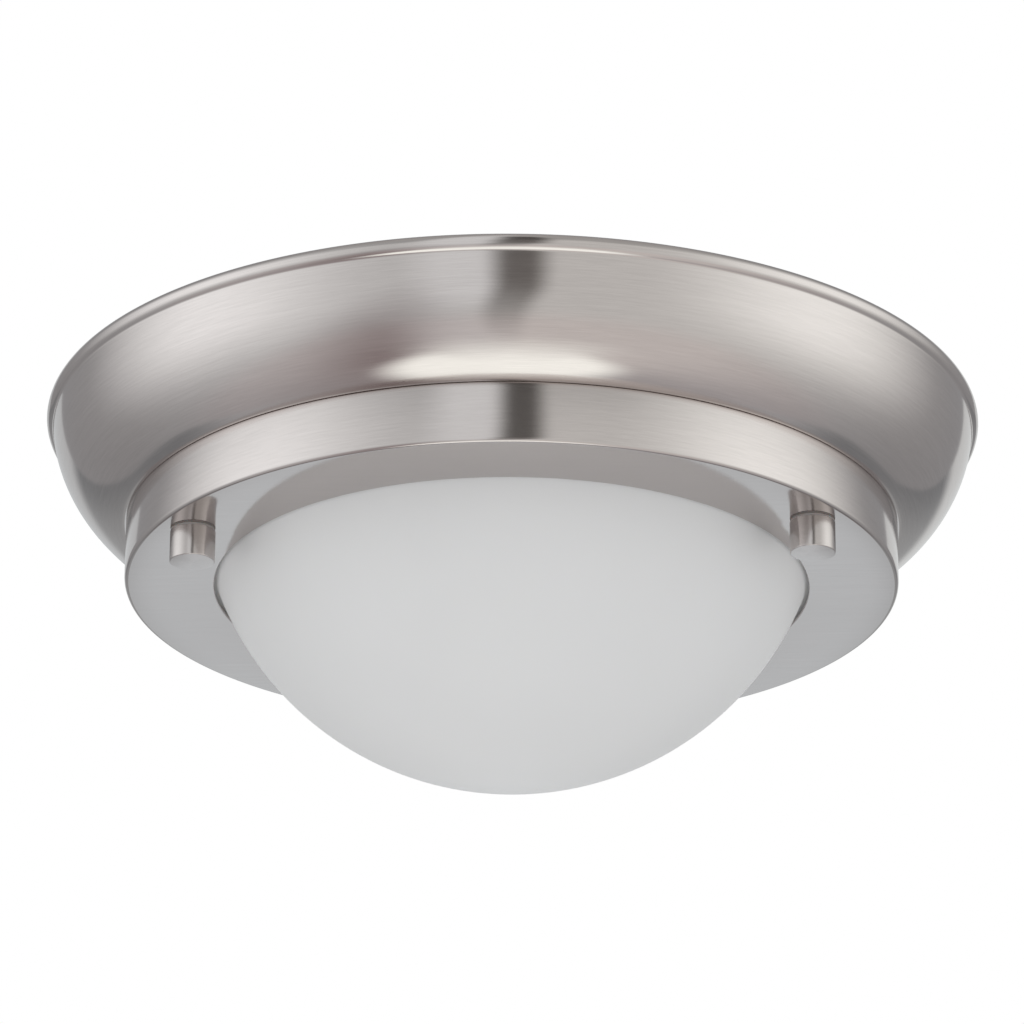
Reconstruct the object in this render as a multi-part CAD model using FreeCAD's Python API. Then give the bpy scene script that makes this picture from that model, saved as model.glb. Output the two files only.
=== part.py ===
"""Flush mount ceiling light: a spun pan, a drum cover held by three thumb nuts, and a domed glass.

Millimetres. The origin is the middle of the ceiling plane and +Z points up into the ceiling, so
the light hangs below z = 0. The rounds are turned about the Z axis. The wiring side of the pan
faces the ceiling, the light side faces the glass.
"""
import FreeCAD
import Part
import math
import os

V = FreeCAD.Vector
HEX_HALF_DEG = 30.0

# Rings around the glass opening, from the inside out.
hole_r = 72.4            # opening in the face plate
hole_gap = 1.2           # glass to the edge of the opening
lip_w = 6.1              # how far the glass lip reaches past the opening
lip_to_stud = 6.5        # lip edge to the circle of studs
stud_to_wall = 9.16      # circle of studs to the outside of the drum
drum_to_rim = 20.14      # outside of the drum to the widest part of the rim

# Heights.
pan_depth = 28.9         # ceiling to the lower face of the pan floor
drum_h = 14.95           # pan floor to the face of the drum
glass_drop = 47.8        # face of the drum to the lowest point of the glass

# Pan, spun from sheet.
pan_t = 0.8
bead_r = 2.1             # outside of the rolled bead
bead_foot_deg = -73.0    # where the wall leaves the bead
bead_curl_deg = 200.0    # where the curled edge ends
bowl_arc_r = 31.3
floor_corner_r = 2.0
floor_margin = 0.24      # flat floor past the drum wall

# Drum cover.
drum_t = 0.8
drum_edge_r = 1.0
drum_inner_edge_r = 0.3
opening_edge_r = 0.2

# Glass.
glass_t = 3.0
lip_t = 3.0
lip_edge_r = 1.2
lip_root_r = 0.7
gasket_t = 0.8
gasket_w = 4.2
gasket_inset = 0.6       # gasket edge back from the lip edge

# Cover studs, 8-32 screws, and their thumb nuts.
stud_count = 3
stud_start_deg = -30.0
stud_r = 2.085
stud_pitch = 0.794
stud_head_r = 4.0
stud_head_h = 2.4
stud_below_face = 5.35
thread_fit = 0.05        # radial gap of a screw in its nut
stud_hole_gap = 0.35     # radial gap of a stud in the face plate
lock_nut_af = 8.7
lock_nut_h = 3.2
thumb_nut_r = 5.4
thumb_nut_h = 7.7
thumb_nut_edge_r = 0.25
thumb_nut_skin = 1.7     # solid end of the nut below its bore
nut_washer_r = 4.9
nut_washer_t = 0.5

# Glass clips on weld studs.
clip_w = 12.0
clip_t = 0.8
clip_gap = 0.5           # lip edge to the clip
clip_reach = 5.0         # tongue over the lip
clip_foot_l = 11.5
weld_stud_r = 1.5
weld_stud_h = 5.0
clip_nut_af = 5.5
clip_nut_h = 2.4

# Mounting strap and the screws through it.
strap_w = 19.0
strap_t = 1.6
strap_end = 6.0          # strap past the fixture screws
strap_flange_h = 3.0
strap_flange_back = 12.0
strap_corner_r = 5.0
box_spacing = 88.9       # 3 1/2 in outlet box
box_step = 19.05         # the screws of the small 2 3/4 in box stand this much closer
box_hole_r = 2.4
box_slot_l = 8.9
nipple_hole_r = 5.2
collar_h = 1.5
collar_w = 1.3
fixture_screw_r = 2.085
fixture_head_r = 4.1
fixture_head_h = 2.6
tray_to_fixture = 10.0   # LED tray edge to the fixture screws
key_gap = 0.35
key_travel = 11.0
ground_screw_x = 21.0
ground_screw_r = 2.3
ground_head_af = 7.9
ground_flange_r = 5.0
ground_flange_h = 0.9
ground_head_h = 3.2

# LED tray and board, below the pan floor.
tray_r = 58.0
tray_rim_w = 8.0
tray_t = 1.2
tray_dish = 3.6
tray_hole_r = 5.0
board_r = 47.0
board_t = 1.6
board_hole_r = 3.6
board_screw_circle = 35.0
tray_screw_inset = 3.6
tray_screw_gap = 1.5     # collars of the tray screws to the front of the driver
small_screw_r = 1.5
small_head_r = 2.7
small_head_h = 1.8
screw_fit = 0.05
self_tap_out = 1.0       # tips of the self-tapping screws below the floor
tip_gap = 0.6            # room in the tray round a screw tip that comes down on it
led_ring_rs = (18.0, 29.5, 41.0)
led_pitch = 12.8         # least spacing along a ring
led_l = 3.5
led_w = 2.8
led_h = 0.7
connector_l = 10.0
connector_w = 7.0
connector_h = 3.0
connector_edge_r = 0.8
board_screw_out = 1.6    # tips of the board screws above the tray

# Grommet and leads.
floor_hole_r = 4.5
grommet_flange_w = 1.8
grommet_flange_t = 1.2
grommet_bore_r = 2.3
grommet_fit = 0.05       # groove to the edge of the floor hole
led_lead_r = 0.8
led_lead_pitch = 2.5
supply_lead_r = 1.05
lead_fit = 0.1
live_bow = -2.0          # sideways bow of the live lead
neutral_bow = -4.0
lead_sag = 1.7
earth_out = 7.0          # straight run of the earth lead out of the block
earth_side = 9.0
earth_back = 5.5
earth_in = 7.0           # straight run into the ring terminal
lead_bend_share = 0.45   # share of the shorter run that a bend takes

# Driver, on the wiring side of the floor.
driver_y = 40.0
driver_l = 82.0
driver_w = 42.0
driver_h = 21.0
driver_wall = 1.8
driver_base_t = 2.0
driver_lid_t = 2.0
driver_corner_r = 3.0
lid_lip_h = 2.5
lid_lip_t = 1.2
lid_fit = 0.2
ear_l = 9.0
ear_w = 12.0
ear_t = 2.5
ear_screw_in = 4.2
driver_board_t = 1.6
driver_standoff = 3.0
driver_board_gap = 0.5
driver_post_r = 2.0
driver_post_inset = 3.0
header_l = 9.0
header_w = 5.0
header_h = 6.0
header_inset = 2.0       # board edge to the headers
transformer_l = 20.0
transformer_w = 17.0
transformer_h = 11.0
transformer_back = 4.0   # behind the middle of the board
capacitor_r = 4.0
capacitor_h = 10.5
capacitor_pitch = 10.5
capacitor_back = 6.0
inductor_r = 4.5
inductor_h = 8.0
inductor_back = 7.0

# Terminal block, on the wiring side of the floor.
block_x = -15.0
block_y = -31.0
pole_count = 3
pole_pitch = 9.0
block_w = 18.0
block_h = 12.5
block_base_t = 1.5
block_end = 1.5
block_edge_r = 1.2
pole_cavity_l = 13.0
pole_cavity_h = 8.5
pole_wall = 1.3
port_r = 1.7
port_mouth_r = 2.3
port_back = 3.0          # wire ports behind the middle of the block
block_ear_l = 6.0
block_ear_w = 9.0
block_ear_t = 2.5
contact_w = 5.0
contact_t = 0.6
contact_rise = 6.5
leaf_deg = 62.0
lead_z_up = 8.6          # leads above the floor at the block and at the driver

# Earth screw and its ring terminal.
earth_to_tray = 3.47     # corners of the earth nut to the edge of the LED tray
earth_y = -14.0
earth_screw_r = 2.0
earth_head_r = 3.7
earth_head_h = 2.3
earth_nut_af = 7.0
earth_nut_h = 2.6
earth_screw_out = 1.0    # tip of the earth screw below its nut
ring_r = 4.2
ring_t = 0.8
barrel_l = 6.5
barrel_wall = 0.5
barrel_root = 1.0        # closed end of the barrel, over the tongue
barrel_start = 5.5       # screw axis to the barrel
barrel_seat = 1.2        # barrel mouth to the end of the lead

past = 1.0               # cutters run this far past a face
edge_tol = 1e-3          # for finding an edge by its place


def hex_corner_r(across_flats):
    """Corner radius of a hexagon."""
    return across_flats / 2 / math.cos(math.radians(HEX_HALF_DEG))


# Results of the values above.
lip_r = hole_r + lip_w
stud_circle_r = lip_r + lip_to_stud
drum_r = stud_circle_r + stud_to_wall
rim_r = drum_r + drum_to_rim
floor_low = -pan_depth
floor_top = floor_low + pan_t
face_low = floor_low - drum_h
face_top = face_low + drum_t
gasket_top = face_top + gasket_t
lip_top = gasket_top + lip_t
neck_r = hole_r - hole_gap
glass_r = (neck_r ** 2 + glass_drop ** 2) / (2 * glass_drop)
glass_centre_z = face_low - glass_drop + glass_r
nut_top = face_low - nut_washer_t
stud_end = face_low - stud_below_face
fixture_x = tray_r + tray_to_fixture
strap_half = fixture_x + strap_end
small_box_spacing = box_spacing - box_step
tray_low = floor_low - tray_dish - tray_t
board_low = tray_low - board_t
block_l = pole_count * pole_pitch + 2 * block_end
block_screw_reach = (block_l + block_ear_l) / 2
driver_screw_reach = driver_l / 2 + ear_screw_in
earth_r = tray_r + hex_corner_r(earth_nut_af) + earth_to_tray
earth_x = -math.sqrt(earth_r ** 2 - earth_y ** 2)
lead_z = floor_top + lead_z_up
stud_degs = [stud_start_deg + 360.0 * i / stud_count for i in range(stud_count)]
clip_degs = [deg + 180.0 / stud_count for deg in stud_degs]


# Helpers.
def rz(radius, z):
    """Point of a turned outline."""
    return V(radius, 0, z)


def polar(radius, deg, z=0.0):
    """Point at an angle about the Z axis."""
    angle = math.radians(deg)
    return V(radius * math.cos(angle), radius * math.sin(angle), z)


def on_circle(centre, radius, deg):
    """Point of a circle in the XZ plane."""
    angle = math.radians(deg)
    return centre + V(radius * math.cos(angle), 0, radius * math.sin(angle))


def angle_from(centre, point):
    """Angle of a point about a centre in the XZ plane, in degrees."""
    return math.degrees(math.atan2(point.z - centre.z, point.x - centre.x))


def circles_meet(centre_a, radius_a, centre_b, radius_b):
    """The two points where two circles in the XZ plane cross."""
    gap = centre_b - centre_a
    along = (radius_a ** 2 - radius_b ** 2 + gap.Length ** 2) / (2 * gap.Length)
    across = math.sqrt(radius_a ** 2 - along ** 2)
    unit = gap * (1 / gap.Length)
    side = V(-unit.z, 0, unit.x)
    foot = centre_a + unit * along
    return foot + side * across, foot - side * across


def outline(start, *steps):
    """Flat face inside a closed outline.

    A step that is a point is a straight run to it. A step that is a pair is an arc through its first
    point to its second.
    """
    edges = []
    here = start
    for step in steps + (start,):
        if isinstance(step, tuple):
            edges.append(Part.Arc(here, step[0], step[1]).toShape())
            here = step[1]
        elif step.distanceToPoint(here) > 1e-6:
            edges.append(Part.makeLine(here, step))
            here = step
    return Part.Face(Part.Wire(edges))


def turned(face):
    """Solid turned from a face in the XZ plane."""
    return face.revolve(V(0, 0, 0), V(0, 0, 1), 360)


def rod(x, y, z_low, z_high, radius):
    """Upright round rod."""
    return Part.makeCylinder(radius, z_high - z_low, V(x, y, z_low))


def block(x, y, z_low, length, width, height):
    """Box with its middle at x, y."""
    return Part.makeBox(length, width, height, V(x - length / 2, y - width / 2, z_low))


def hexagon(x, y, z_low, across_flats, height):
    """Upright hexagonal prism."""
    corner_r = hex_corner_r(across_flats)
    corners = [V(x, y, z_low) + polar(corner_r, 60 * i) for i in range(7)]
    return Part.Face(Part.makePolygon(corners)).extrude(V(0, 0, height))


def hex_nut(x, y, z_low, across_flats, height, bore_r):
    """Hexagonal nut with its corners turned off."""
    bevel = across_flats * 0.06
    cone_r = hex_corner_r(across_flats) - bevel
    body = hexagon(x, y, z_low, across_flats, height)
    envelope = turned(outline(rz(0, 0), rz(cone_r, 0), rz(cone_r + 2 * bevel, bevel),
                              rz(cone_r + 2 * bevel, height - bevel), rz(cone_r, height), rz(0, height)))
    body = body.common(envelope.translated(V(x, y, z_low)))
    return body.cut(rod(x, y, z_low - past, z_low + height + past, bore_r))


def screw(x, y, head_face, tip, radius, head_r, head_h):
    """Round-headed screw. The head lies on head_face and the shank ends at tip."""
    up = 1 if tip > head_face else -1
    dome = head_h * 0.45
    head = turned(outline(
        rz(0, 0), rz(head_r, 0), rz(head_r, head_h - dome),
        (rz(head_r * 0.78, head_h - dome * 0.35), rz(head_r * 0.4, head_h)), rz(0, head_h)))
    if up > 0:
        head.rotate(V(0, 0, 0), V(1, 0, 0), 180)
    head.translate(V(x, y, head_face))
    shank = rod(x, y, min(head_face, tip), max(head_face, tip), radius)
    return head.fuse(shank).removeSplitter()


def group(solids):
    """Separate solids that share a node."""
    return Part.makeCompound(solids)


def at_degs(shape, degs):
    """Copies of a shape turned about the Z axis."""
    copies = []
    for deg in degs:
        copy = shape.copy()
        copy.rotate(V(0, 0, 0), V(0, 0, 1), deg)
        copies.append(copy)
    return copies


# Pan.
def pan_section():
    """Sheet section of the pan: flat floor, tight corner, bowl arc and rolled bead."""
    bead_c = rz(rim_r - bead_r, -bead_r)
    crease = on_circle(bead_c, bead_r, bead_foot_deg)
    corner_c = rz(drum_r + floor_margin, floor_low + floor_corner_r)
    centres = circles_meet(crease, bowl_arc_r, corner_c, bowl_arc_r - floor_corner_r)
    bowl_c = min(centres, key=lambda point: point.x)
    turn_deg = angle_from(bowl_c, corner_c)
    crease_deg = angle_from(bowl_c, crease)
    inner_crease = min(circles_meet(bowl_c, bowl_arc_r - pan_t, bead_c, bead_r - pan_t),
                       key=lambda point: point.z)
    inner_crease_deg = angle_from(bowl_c, inner_crease)
    inner_foot_deg = angle_from(bead_c, inner_crease)
    bowl_mid = (turn_deg + crease_deg) / 2
    inner_bowl_mid = (turn_deg + inner_crease_deg) / 2
    corner_mid = (turn_deg - 90) / 2
    bead_mid = (bead_foot_deg + bead_curl_deg) / 2
    inner_bead_mid = (inner_foot_deg + bead_curl_deg) / 2
    inner_bead_r = bead_r - pan_t
    inner_bowl_r = bowl_arc_r - pan_t
    inner_corner_r = floor_corner_r - pan_t
    return outline(
        rz(0, floor_low),
        rz(corner_c.x, floor_low),
        (on_circle(corner_c, floor_corner_r, corner_mid), on_circle(corner_c, floor_corner_r, turn_deg)),
        (on_circle(bowl_c, bowl_arc_r, bowl_mid), crease),
        (on_circle(bead_c, bead_r, bead_mid), on_circle(bead_c, bead_r, bead_curl_deg)),
        on_circle(bead_c, inner_bead_r, bead_curl_deg),
        (on_circle(bead_c, inner_bead_r, inner_bead_mid), inner_crease),
        (on_circle(bowl_c, inner_bowl_r, inner_bowl_mid), on_circle(bowl_c, inner_bowl_r, turn_deg)),
        (on_circle(corner_c, inner_corner_r, corner_mid), rz(corner_c.x, floor_top)),
        rz(0, floor_top))


def through_floor(x, y, radius):
    """Cutter for a round hole in the pan floor."""
    return rod(x, y, floor_low - past, floor_top + collar_h + past, radius)


def keyhole(side):
    """Cutter for a keyhole: the screw rests in the narrow end, its head enters at the round end."""
    narrow_r = fixture_screw_r + key_gap
    x = side * fixture_x
    entry_y = -side * key_travel
    slot = Part.makeBox(2 * narrow_r, key_travel, pan_t + 2 * past,
                        V(x - narrow_r, min(0, entry_y), floor_low - past))
    entry = through_floor(x, entry_y, fixture_head_r + key_gap)
    return slot.fuse([entry, through_floor(x, 0, narrow_r)])


def tray_screw_points():
    """Places of the LED tray screws: two in front of the driver, one opposite."""
    circle_r = tray_r - tray_screw_inset
    back_y = driver_y - driver_w / 2 - tray_screw_gap - small_screw_r - collar_w
    back_x = math.sqrt(circle_r ** 2 - back_y ** 2)
    return [V(-back_x, back_y, 0), V(back_x, back_y, 0), V(0, -circle_r, 0)]


def driver_screw_points():
    """Places of the driver screws, in its two ears."""
    return [V(s * driver_screw_reach, driver_y, 0) for s in (-1, 1)]


def block_screw_points():
    """Places of the terminal block screws, in its two ears."""
    return [V(block_x + s * block_screw_reach, block_y, 0) for s in (-1, 1)]


def make_pan():
    """Spun bowl with its rolled bead, raised screw collars, keyholes and holes."""
    pan = turned(pan_section())
    small_points = tray_screw_points() + driver_screw_points() + block_screw_points()
    collar_r = small_screw_r + collar_w
    collars = [rod(p.x, p.y, floor_low + pan_t / 2, floor_top + collar_h, collar_r)
               for p in tray_screw_points()]
    pan = pan.fuse(collars)
    cutters = [through_floor(p.x, p.y, small_screw_r + screw_fit) for p in small_points]
    cutters += [through_floor(p.x, p.y, stud_r + screw_fit)
                for p in (polar(stud_circle_r, deg) for deg in stud_degs)]
    cutters += [keyhole(1), keyhole(-1)]
    cutters.append(through_floor(0, 0, floor_hole_r))
    cutters.append(through_floor(earth_x, earth_y, earth_screw_r + screw_fit))
    return pan.cut(cutters)


# Mounting strap.
def strap_slot(x):
    """Cutter for an outlet box slot, along the strap."""
    run = box_slot_l - 2 * box_hole_r
    ends = [rod(x + s * run / 2, 0, -strap_t - past, past, box_hole_r) for s in (-1, 1)]
    return block(x, 0, -strap_t - past, run, 2 * box_hole_r, strap_t + 2 * past).fuse(ends)


def make_mounting_strap():
    """Pressed bar with down-turned edges, box slots, tapped collars and a middle hole."""
    bar = block(0, 0, -strap_t, 2 * strap_half, strap_w, strap_t)
    upright = [e for e in bar.Edges if abs(e.tangentAt(e.FirstParameter).z) > 0.99]
    bar = bar.makeFillet(strap_corner_r, upright)
    flange_l = 2 * (strap_half - strap_flange_back)
    flange_y = (strap_w - strap_t) / 2
    solids = [block(0, s * flange_y, -strap_t - strap_flange_h, flange_l, strap_t, strap_flange_h)
              for s in (-1, 1)]
    solids += [rod(s * fixture_x, 0, -strap_t - collar_h, -strap_t / 2, fixture_screw_r + collar_w)
               for s in (-1, 1)]
    bar = bar.fuse(solids).removeSplitter()
    cutters = [strap_slot(s * box_spacing / 2) for s in (-1, 1)]
    cutters += [rod(s * small_box_spacing / 2, 0, -strap_t - past, past, box_hole_r) for s in (-1, 1)]
    cutters += [rod(s * fixture_x, 0, -strap_t - collar_h - past, past, fixture_screw_r + thread_fit)
                for s in (-1, 1)]
    cutters.append(rod(0, 0, -strap_t - past, past, nipple_hole_r))
    cutters.append(rod(ground_screw_x, 0, -strap_t - past, past, ground_screw_r + thread_fit))
    return bar.cut(cutters)


def make_strap_ground_screw():
    """Hex head with a washer face, below the strap."""
    low = -strap_t
    flange = rod(ground_screw_x, 0, low - ground_flange_h, low, ground_flange_r)
    head = hexagon(ground_screw_x, 0, low - ground_flange_h - ground_head_h, ground_head_af, ground_head_h)
    shank = rod(ground_screw_x, 0, low, 0, ground_screw_r)
    return flange.fuse([head, shank]).removeSplitter()


def make_fixture_screws():
    """Two screws with their heads under the pan floor, up into the strap."""
    return group([screw(s * fixture_x, 0, floor_low, 0, fixture_screw_r, fixture_head_r, fixture_head_h)
                  for s in (-1, 1)])


# Studs and thumb nuts.
def make_cover_studs():
    """Screws with their heads on top of the pan floor, down through the face plate."""
    one = screw(stud_circle_r, 0, floor_top, stud_end, stud_r, stud_head_r, stud_head_h)
    return group(at_degs(one, stud_degs))


def make_stud_lock_nuts():
    """Hex nuts that clamp the studs under the pan floor."""
    one = hex_nut(stud_circle_r, 0, floor_low - lock_nut_h, lock_nut_af, lock_nut_h, stud_r + thread_fit)
    return group(at_degs(one, stud_degs))


def make_thumb_nut(deg):
    """Plain round nut with a flat end and a blind bore."""
    low = nut_top - thumb_nut_h
    p = polar(stud_circle_r, deg)
    body = rod(p.x, p.y, low, nut_top, thumb_nut_r)
    rims = [e for e in body.Edges if e.Closed and e.Length > thumb_nut_r]
    body = body.makeFillet(thumb_nut_edge_r, rims)
    return body.cut(rod(p.x, p.y, low + thumb_nut_skin, nut_top + past, stud_r + thread_fit))


def make_nut_washer(deg):
    """Thin washer between thumb nut and face plate."""
    p = polar(stud_circle_r, deg)
    disc = rod(p.x, p.y, nut_top, face_low, nut_washer_r)
    return disc.cut(rod(p.x, p.y, nut_top - past, face_low + past, stud_r + stud_hole_gap))


# Drum cover and glass.
def make_drum_cover():
    """Drawn cap: cylindrical wall, rounded edge and a flat face plate with its opening."""
    cap = rod(0, 0, face_low, floor_low, drum_r)
    outer = [e for e in cap.Edges if e.Closed and abs(e.BoundBox.ZMax - face_low) < edge_tol]
    cap = cap.makeFillet(drum_edge_r, outer)
    hollow = rod(0, 0, face_top, floor_low + past, drum_r - drum_t)
    inner = [e for e in hollow.Edges if e.Closed and abs(e.BoundBox.ZMax - face_top) < edge_tol]
    hollow = hollow.makeFillet(drum_inner_edge_r, inner)
    cap = cap.cut(hollow)
    cap = cap.cut(rod(0, 0, face_low - past, face_top + past, hole_r))
    rims = [e for e in cap.Edges
            if e.Closed and abs(e.BoundBox.XMax - hole_r) < edge_tol and e.Length > hole_r]
    cap = cap.makeFillet(opening_edge_r, rims)
    holes = [rod(p.x, p.y, face_low - past, face_top + past, stud_r + stud_hole_gap)
             for p in (polar(stud_circle_r, deg) for deg in stud_degs)]
    return cap.cut(holes)


def make_glass_shade():
    """Part of a sphere with an out-turned lip that rests on the gasket."""
    centre = rz(0, glass_centre_z)
    inner_r = glass_r - glass_t
    root = math.sqrt(glass_r ** 2 - (gasket_top - glass_centre_z) ** 2)
    mouth = math.sqrt(inner_r ** 2 - (lip_top - glass_centre_z) ** 2)
    root_deg = angle_from(centre, rz(root, gasket_top))
    mouth_deg = angle_from(centre, rz(mouth, lip_top))
    dome = turned(outline(
        rz(0, glass_centre_z - glass_r),
        (on_circle(centre, glass_r, (root_deg - 90) / 2), rz(root, gasket_top)),
        rz(lip_r, gasket_top),
        rz(lip_r, lip_top),
        rz(mouth, lip_top),
        (on_circle(centre, inner_r, (mouth_deg - 90) / 2), rz(0, glass_centre_z - inner_r))))
    edge = [e for e in dome.Edges if e.Closed and abs(e.BoundBox.XMax - lip_r) < edge_tol]
    dome = dome.makeFillet(lip_edge_r, [e for e in edge if e.Length > lip_r])
    corner = [e for e in dome.Edges if e.Closed and abs(e.BoundBox.XMax - root) < edge_tol
              and abs(e.BoundBox.ZMax - gasket_top) < edge_tol]
    dome = dome.makeFillet(lip_root_r, corner)
    mouth_edge = [e for e in dome.Edges if e.Closed and abs(e.BoundBox.XMax - mouth) < edge_tol
                  and abs(e.BoundBox.ZMax - lip_top) < edge_tol]
    return dome.makeFillet(lip_root_r, mouth_edge)


def make_glass_gasket():
    """Flat ring between the glass lip and the face plate."""
    outer = lip_r - gasket_inset
    ring = rod(0, 0, face_top, gasket_top, outer)
    return ring.cut(rod(0, 0, face_top - past, gasket_top + past, outer - gasket_w))


def weld_stud_circle():
    """Radius of the circle of weld studs, in the middle of the clip feet."""
    return lip_r + clip_gap + clip_t + (clip_foot_l - clip_t) / 2


def make_glass_clip(deg):
    """Bent strip: foot on the plate, riser outside the lip, tongue over it."""
    inside = lip_r + clip_gap
    section = outline(
        rz(inside, face_top),
        rz(inside + clip_foot_l, face_top),
        rz(inside + clip_foot_l, face_top + clip_t),
        rz(inside + clip_t, face_top + clip_t),
        rz(inside + clip_t, lip_top + clip_t),
        rz(lip_r - clip_reach, lip_top + clip_t),
        rz(lip_r - clip_reach, lip_top),
        rz(inside, lip_top))
    clip = section.translated(V(0, -clip_w / 2, 0)).extrude(V(0, clip_w, 0))
    clip = clip.cut(rod(weld_stud_circle(), 0, face_top - past, face_top + clip_t + past,
                        weld_stud_r + stud_hole_gap))
    return at_degs(clip, [deg])[0]


def make_clip_weld_studs():
    """Short studs welded inside the face plate."""
    one = rod(weld_stud_circle(), 0, face_top, face_top + weld_stud_h, weld_stud_r)
    return group(at_degs(one, clip_degs))


def make_clip_nuts():
    """Hex nuts on the clip feet."""
    one = hex_nut(weld_stud_circle(), 0, face_top + clip_t, clip_nut_af, clip_nut_h,
                  weld_stud_r + thread_fit)
    return group(at_degs(one, clip_degs))


# Light engine.
def make_led_tray():
    """Dished reflector tray: rim on the pan floor, middle set down by the dish depth."""
    rim_in = tray_r - tray_rim_w
    well_r = rim_in - tray_dish
    tray = turned(outline(
        rz(tray_hole_r, tray_low),
        rz(well_r, tray_low),
        rz(rim_in, floor_low - tray_t),
        rz(tray_r, floor_low - tray_t),
        rz(tray_r, floor_low),
        rz(rim_in - tray_t / 2, floor_low),
        rz(well_r - tray_t / 2, tray_low + tray_t),
        rz(tray_hole_r, tray_low + tray_t)))
    holes = [rod(p.x, p.y, tray_low - past, floor_low + past, small_screw_r + screw_fit)
             for p in tray_screw_points() + board_screw_points()]
    holes += [rod(p.x, p.y, floor_low - self_tap_out - tip_gap, floor_low + past, small_screw_r + tip_gap)
              for p in driver_screw_points() + block_screw_points()]
    return tray.cut(holes)


def board_screw_points():
    """Places of the light board screws."""
    return [polar(board_screw_circle, deg) for deg in clip_degs]


def make_led_board():
    """Round metal-core board with a middle hole for the leads."""
    disc = rod(0, 0, board_low, tray_low, board_r)
    holes = [rod(p.x, p.y, board_low - past, tray_low + past, small_screw_r + screw_fit)
             for p in board_screw_points()]
    holes.append(rod(0, 0, board_low - past, tray_low + past, board_hole_r))
    return disc.cut(holes)


def make_led_packages():
    """Rings of surface-mounted light sources."""
    chips = []
    for ring_radius in led_ring_rs:
        count = int(2 * math.pi * ring_radius / led_pitch)
        chip = block(ring_radius, 0, board_low - led_h, led_w, led_l, led_h)
        chips += at_degs(chip, [360.0 * i / count for i in range(count)])
    return group(chips)


def make_led_connector():
    """Bottom-entry connector over the hole of the light board."""
    body = block(0, 0, board_low - connector_h, connector_l, connector_w, connector_h)
    upright = [e for e in body.Edges if abs(e.tangentAt(e.FirstParameter).z) > 0.99]
    body = body.makeFillet(connector_edge_r, upright)
    wells = [rod(s * led_lead_pitch / 2, 0, board_low - connector_h * 0.7, board_low + past,
                 led_lead_r + lead_fit) for s in (-1, 1)]
    return body.cut(wells)


def make_led_board_screws():
    """Screws that hold the light board to the tray."""
    tip = tray_low + tray_t + board_screw_out
    return group([screw(p.x, p.y, board_low, tip, small_screw_r, small_head_r, small_head_h)
                  for p in board_screw_points()])


def make_led_tray_screws():
    """Screws that hold the tray to the pan floor."""
    return group([screw(p.x, p.y, floor_low - tray_t, floor_top + collar_h, small_screw_r,
                        small_head_r, small_head_h) for p in tray_screw_points()])


def make_wire_grommet():
    """Rubber bush whose groove holds the edge of the floor hole."""
    flange_r = floor_hole_r + grommet_flange_w
    groove_r = floor_hole_r - grommet_fit
    bush = turned(outline(
        rz(grommet_bore_r, floor_low - grommet_flange_t),
        rz(flange_r, floor_low - grommet_flange_t),
        rz(flange_r, floor_low),
        rz(groove_r, floor_low),
        rz(groove_r, floor_top),
        rz(flange_r, floor_top),
        rz(flange_r, floor_top + grommet_flange_t / 2),
        (rz(flange_r - grommet_flange_t * 0.15, floor_top + grommet_flange_t * 0.85),
         rz(flange_r - grommet_flange_t / 2, floor_top + grommet_flange_t)),
        rz(grommet_bore_r, floor_top + grommet_flange_t)))
    return bush


# Driver.
def make_driver_case():
    """Open box with an ear at each end, board ledges and lead holes."""
    height = driver_h - driver_lid_t
    shell = block(0, driver_y, floor_top, driver_l, driver_w, height)
    upright = [e for e in shell.Edges if abs(e.tangentAt(e.FirstParameter).z) > 0.99]
    shell = shell.makeFillet(driver_corner_r, upright)
    ears = [block(s * (driver_l + ear_l) / 2, driver_y, floor_top, ear_l + driver_wall, ear_w, ear_t)
            for s in (-1, 1)]
    shell = shell.fuse(ears)
    room = block(0, driver_y, floor_top + driver_base_t, driver_l - 2 * driver_wall,
                 driver_w - 2 * driver_wall, height)
    shell = shell.cut(room)
    posts = []
    for sx in (-1, 1):
        for sy in (-1, 1):
            posts.append(rod(sx * (driver_l / 2 - driver_wall - driver_post_inset),
                             driver_y + sy * (driver_w / 2 - driver_wall - driver_post_inset),
                             floor_top + driver_base_t / 2, floor_top + driver_base_t + driver_standoff,
                             driver_post_r))
    shell = shell.fuse(posts)
    holes = [through_floor(p.x, p.y, small_screw_r + lead_fit) for p in driver_screw_points()]
    side_y = driver_y - driver_w / 2
    for x, radius in supply_places() + led_lead_places():
        holes.append(Part.makeCylinder(radius + lead_fit, driver_wall * 3,
                                       V(x, side_y - driver_wall, lead_z), V(0, 1, 0)))
    return shell.cut(holes)


def make_driver_lid():
    """Flat lid with a lip that fits inside the case."""
    low = floor_top + driver_h - driver_lid_t
    lid = block(0, driver_y, low, driver_l, driver_w, driver_lid_t)
    upright = [e for e in lid.Edges if abs(e.tangentAt(e.FirstParameter).z) > 0.99]
    lid = lid.makeFillet(driver_corner_r, upright)
    lip_l = driver_l - 2 * (driver_wall + lid_fit)
    lip_b = driver_w - 2 * (driver_wall + lid_fit)
    lip = block(0, driver_y, low - lid_lip_h, lip_l, lip_b, lid_lip_h + driver_lid_t / 2)
    well = block(0, driver_y, low - lid_lip_h - past, lip_l - 2 * lid_lip_t, lip_b - 2 * lid_lip_t,
                 lid_lip_h + past)
    return lid.fuse(lip).cut(well).removeSplitter()


def board_top_in_driver():
    """Upper face of the driver board."""
    return floor_top + driver_base_t + driver_standoff + driver_board_t


def header_places():
    """Middles of the supply header and the output header along X."""
    supply_x = sum(x for x, radius in supply_places()) / 2
    return [supply_x, 0.0]


def header_front():
    """Front face of the driver headers, where the leads end."""
    return driver_y - driver_w / 2 + driver_wall + driver_board_gap + header_inset


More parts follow.
